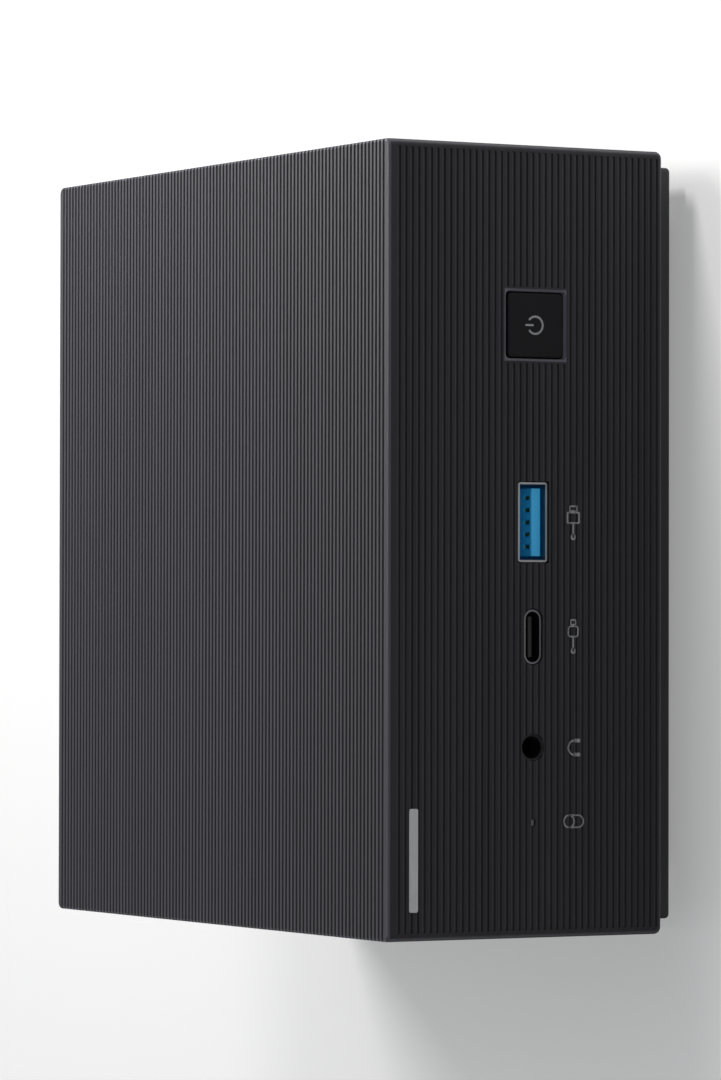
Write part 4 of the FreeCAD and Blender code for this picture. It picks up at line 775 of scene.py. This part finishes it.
def scatter(count, keep, areas):
    """Draws part places on a 0.5 grid, clear of the keep areas and of each other."""
    placed = []
    tries = 0
    while len(placed) < count and tries < count * 60:
        tries += 1
        area = areas[tries % len(areas)]
        size = rng.choice(PART_SIZES)
        x = round(rng.uniform(area[0], area[1]) * 2) / 2
        y = round(rng.uniform(area[2], area[3]) * 2) / 2
        along_y = rng.random() < 0.5
        reach = size[0] / 2 + 0.3
        if not is_free(x, y, reach, keep, area):
            continue
        if any(abs(x - other_x) < reach + other_reach and abs(y - other_y) < reach + other_reach
               for other_x, other_y, other_reach, *_ in placed):
            continue
        placed.append((x, y, reach, size, along_y, rng.random()))
    return placed


def banded_part(mesh, x, y, z, along_y, bands):
    """Boxes in a row: each band is start, end, half width, signed height, material index."""
    for start, end, half, height, material in bands:
        if along_y:
            x_range, y_range = span(x, half), (y + start, y + end)
        else:
            x_range, y_range = (x + start, x + end), span(y, half)
        box(mesh, x_range, y_range, (z, z + height), material)


def small_parts(name, placed, z, up):
    """Chip parts with tin ends on one face of the board; up is 1 or -1."""
    mesh = bmesh.new()
    for x, y, _, (length, width, height), along_y, kind in placed:
        end, cap = length / 2, length * 0.22
        middle = 0 if kind < 0.5 else 1
        banded_part(mesh, x, y, z, along_y, (
            (-end, -end + cap, width / 2, up * height, 2),
            (-end + cap, end - cap, width / 2 - 0.03, up * (height - 0.03), middle),
            (end - cap, end, width / 2, up * height, 2)))
    add_mesh(name, mesh, ["ceramic_tan", "chip_epoxy", "solder_tin"], "chip_epoxy", bevel=0.03)


small_parts("small_parts_top", scatter(330, KEEP_TOP, [(-57, 57, -55, 56)]), BOARD_TOP, 1)
small_parts("small_parts_under", scatter(170, KEEP_UNDER, UNDER_AREAS), BOARD_UNDER, -1)

# passive rows along the memory modules and on the storage card, on their lower faces
PASSIVE = ((-0.5, -0.25, 0.25, -0.32, 1), (0.25, 0.5, 0.25, -0.32, 1), (-0.25, 0.25, 0.23, -0.3, 0))
mesh = bmesh.new()
for row_y in MEMORY_ROWS:
    for i in range(40):
        x = -31.5 + i * 1.6
        if abs(x + 2.4) < 1.6:
            continue
        banded_part(mesh, x, row_y + 10.6, BOARD_UNDER - 4.2, True, PASSIVE)
        if abs(x) >= 3.2:
            banded_part(mesh, x, row_y + 24.0, BOARD_UNDER - 4.2, True, PASSIVE)
for i in range(9):
    for x in (-22.0, -4.0, 14.0, 32.5):
        banded_part(mesh, x, 27.5 + i * 1.9, BOARD_UNDER - 2.7, False, PASSIVE)
add_mesh("module_passives", mesh, ["ceramic_tan", "solder_tin"], "chip_epoxy", bevel=0.03)

# gull-wing legs round the board chips, every 0.5 along each side
LEG_PITCH = 0.5
# a leg's foot and riser: far and near reach from the chip, low and high above the board
LEG_PIECES = ((0.75, 0.3, 0.0, 0.13), (0.3, 0.0, 0.06, 0.5))
mesh = bmesh.new()
for x0, y0, width, depth in CHIPS:
    for along_x, start, length, edges in (
            (True, x0, width, ((y0, -1), (y0 + depth, 1))),
            (False, y0, depth, ((x0, -1), (x0 + width, 1)))):
        for k in range(int((length - 1.2) / LEG_PITCH) + 1):
            side = span(start + 0.6 + k * LEG_PITCH, 0.11)
            for edge, out in edges:
                for far, near, low, high in LEG_PIECES:
                    reach = (edge + out * far, edge + out * near)
                    x_range, y_range = (side, reach) if along_x else (reach, side)
                    box(mesh, x_range, y_range, (BOARD_TOP + low, BOARD_TOP + high))
add_mesh("chip_legs", mesh, ["solder_tin"], "chip_epoxy")

# contact combs of the memory and card sockets
mesh = bmesh.new()
pad_z = (BOARD_UNDER - 0.14, BOARD_UNDER)
for row_y in MEMORY_ROWS:
    for k in range(130):
        side = span(-33.6 + k * 0.52, 0.14)
        box(mesh, side, (row_y + 0.15, row_y + 2.0), (BOARD_UNDER - 5.32, BOARD_UNDER - 5.2))
        box(mesh, side, (row_y - 0.7, row_y), pad_z)
for k in range(42):
    box(mesh, (-47.7, -47.0), span(35 - 10.4 + k * 0.5, 0.12), pad_z)
add_mesh("socket_combs", mesh, ["contact_gold"], "contact_gold")


def spring(mesh, x, z, mouth_y, inward, width=1.9, thickness=0.09):
    """A bent leaf hanging from the upper wall of a type A shell; inward is the sign of y."""
    rows = []
    # distance in from the mouth, drop below the wall
    for depth, drop in ((1.2, 0.0), (3.0, 0.18), (6.0, 0.42), (7.4, 0.3)):
        section = ((-width / 2, 0), (width / 2, 0), (width / 2, thickness), (-width / 2, thickness))
        rows.append([
            mesh.verts.new(((x + side) * MM, (mouth_y + inward * depth) * MM,
                            (z - (drop + below)) * MM))
            for side, below in section])
    for near, far in zip(rows, rows[1:]):
        for i in range(4):
            j = (i + 1) % 4
            mesh.faces.new((near[i], near[j], far[j], far[i]))
    mesh.faces.new(rows[0][::-1])
    mesh.faces.new(rows[-1])


mesh = bmesh.new()
# x and upper wall z of each shell, y of its mouth, direction into it
for x, z, mouth_y, inward in (
        (3.1, 33.05, -59.65, 1), (-34.6, 33.1, 58.6, -1), (-34.6, 41.1, 58.6, -1),
        (-51.4, 32.95, 58.6, -1)):
    for offset in (-3.2, 3.2):
        spring(mesh, x + offset, z, mouth_y, inward)
add_mesh("usb_springs", mesh, ["plated_steel"], "socket_steel")


# =============================================================== fan lead
def wire(name, points, radius, material):
    curve = bpy.data.curves.new(name, "CURVE")
    curve.dimensions = "3D"
    curve.bevel_depth = radius * MM
    curve.bevel_resolution = 3
    curve.use_fill_caps = True
    curve.resolution_u = 10
    spline = curve.splines.new("BEZIER")
    spline.bezier_points.add(len(points) - 1)
    for knot, point in zip(spline.bezier_points, points):
        knot.co = Vector(point) * MM
        knot.handle_left_type = knot.handle_right_type = "AUTO"
    curve.materials.append(material)
    place(name, curve)


# four wires from the header up to the fan
WIRE_COLORS = {"black": (0.015, 0.015, 0.015), "red": (0.35, 0.012, 0.01),
               "yellow": (0.5, 0.32, 0.02), "blue": (0.02, 0.06, 0.3)}
for k, (color_name, color) in enumerate(WIRE_COLORS.items()):
    jacket = plastic("wire_" + color_name, color, rough=0.4, grain=0.4, depth=0.003)
    x = 13.4 + k * 1.15
    route = [(x, 24.0, 30.2), (x, 24.0, 32.5), (13.2, 22.6 - k * 0.3, 37.5 + k * 0.5),
             (11.3, 17.5 - k * 1.0, 44.3), (10.7, 15.2 - k * 1.0, 44.3)]
    wire("fan_wire_" + color_name, route, 0.36, jacket)

plastic("header_ivory", (0.62, 0.58, 0.48), rough=0.45, grain=0.3)
mesh = bmesh.new()
box(mesh, (12.6, 17.6), (22.6, 25.8), (BOARD_TOP, BOARD_TOP + 3.0))
box(mesh, (12.9, 17.3), (25.8, 26.2), (BOARD_TOP + 0.6, BOARD_TOP + 3.4))
add_mesh("fan_header", mesh, ["header_ivory"], "socket_black", bevel=0.15, segments=2)

# thin plain patch under the storage card
plastic("patch_grey", (0.22, 0.23, 0.25), rough=0.4, grain=0.4, depth=0.004)
mesh = bmesh.new()
box(mesh, (-19.0, 11.0), (28.2, 41.8), (BOARD_UNDER - 4.06, BOARD_UNDER - 4.0))
add_mesh("storage_patch", mesh, ["patch_grey"], "chip_epoxy", bevel=0.02)

# =============================================================== floor and world, in metres
FLOOR_HALF = 6.0
mesh = bmesh.new()
mesh.faces.new([mesh.verts.new((x * FLOOR_HALF, y * FLOOR_HALF, 0))
                for x, y in ((-1, -1), (1, -1), (1, 1), (-1, 1))])
floor_mesh = bpy.data.meshes.new("floor")
mesh.to_mesh(floor_mesh)
mesh.free()
floor = bpy.data.objects.new("floor", floor_mesh)
floor.location = (0, 0, -0.0002)
scene.collection.objects.link(floor)
floor_mesh.materials.append(floor_material())

world = bpy.data.worlds.new("studio")
scene.world = world
world.use_nodes = True
world_tree = world.node_tree
ambient = world_tree.nodes["Background"]
plug(ambient.inputs["Color"], (0.93, 0.96, 1.0))
plug(ambient.inputs["Strength"], 0.22)
# the camera sees a brighter white, as through the floor from below
seen = add_node(world_tree, "ShaderNodeBackground",
                {"Color": (0.96, 0.97, 0.98), "Strength": 0.62})
ray = add_node(world_tree, "ShaderNodeLightPath")
either = add_node(world_tree, "ShaderNodeMixShader",
                  {0: Field(ray, "Is Camera Ray"), 1: Field(ambient), 2: Field(seen)})
plug(world_tree.nodes["World Output"].inputs["Surface"], Field(either))
# guards against a build where Cycles and its world settings are missing
try:
    world.cycles.sampling_method = "NONE"
except Exception:
    pass


# =============================================================== lamps, in metres and watts
def lamp(name, position, aim, size, power, color=(1, 1, 1)):
    light = bpy.data.lights.new(name, "AREA")
    light.shape = "RECTANGLE"
    light.size, light.size_y = size
    light.energy = power
    light.color = color
    holder = bpy.data.objects.new(name, light)
    holder.location = position
    holder.rotation_mode = "QUATERNION"
    direction = Vector(aim) - Vector(position)
    holder.rotation_quaternion = direction.to_track_quat("-Z", "Y")
    holder.visible_camera = False
    scene.collection.objects.link(holder)
    return holder


middle = (cad_lo + cad_hi) / 2
lamp("key", position=(0.26, 0.34, 0.385), aim=(0.03, -0.03, 0.05), size=(0.26, 0.26),
     power=2.0, color=(1.0, 0.99, 0.985))
side_lamp = lamp("side", position=(0.33, -0.02, 0.22), aim=(0.04, -0.02, 0.05),
                 size=(0.08, 0.08), power=0.8, color=(1.0, 0.995, 0.99))
side_lamp.visible_glossy = False
lamp("soft", position=(0.25, 0.45, 1.1), aim=middle, size=(1.1, 1.1), power=2.0,
     color=(1.0, 0.995, 0.99))
lamp("fill", position=(-0.55, -0.85, 0.55), aim=middle, size=(0.9, 0.7), power=0.3,
     color=(0.95, 0.97, 1.0))
lamp("back", position=(-0.5, 0.8, 0.5), aim=middle, size=(0.7, 0.6), power=0.5)
lamp("under", position=(0.05, -0.1, -0.7), aim=middle, size=(0.9, 0.9), power=5.0)

# =============================================================== camera
STATION = Vector((-13.5, -824.5, 494.9)) * MM
IMAGE_UP = Vector((0.99943, 0.03021, -0.01496))   # world direction that points up in the picture
FEET_HEIGHT = 0.0055                              # metres left out below the framed box
SENSOR_HEIGHT, SENSOR_WIDTH = 36.0, 24.0333333    # upright picture
FILL = 0.84                                       # share of the picture the box may take

camera_data = bpy.data.cameras.new("camera")
camera = bpy.data.objects.new("camera", camera_data)
scene.collection.objects.link(camera)
scene.camera = camera
corners = [Vector((x, y, z)) for x in (cad_lo.x, cad_hi.x) for y in (cad_lo.y, cad_hi.y)
           for z in (cad_lo.z + FEET_HEIGHT, cad_hi.z)]

# turn the camera until the box sits in the middle of the picture
aim = middle.copy()
for _ in range(8):
    forward = (aim - STATION).normalized()
    right = forward.cross(IMAGE_UP).normalized()
    up = right.cross(forward).normalized()
    across = [(c - STATION).dot(right) / (c - STATION).dot(forward) for c in corners]
    upward = [(c - STATION).dot(up) / (c - STATION).dot(forward) for c in corners]
    distance = (aim - STATION).length
    aim = (aim + right * ((min(across) + max(across)) / 2) * distance
           + up * ((min(upward) + max(upward)) / 2) * distance)
camera.location = STATION
camera.rotation_mode = "QUATERNION"
camera.rotation_quaternion = Matrix((right, up, -forward)).transposed().to_quaternion()
camera_data.sensor_fit = "AUTO"
camera_data.sensor_width = SENSOR_HEIGHT
camera_data.lens = min(SENSOR_HEIGHT * FILL / (max(upward) - min(upward)),
                       SENSOR_WIDTH * FILL / (max(across) - min(across)))
camera_data.clip_start = 0.01
camera_data.clip_end = 50.0

scene.view_settings.view_transform = "Standard"
scene.view_settings.exposure = 0.0
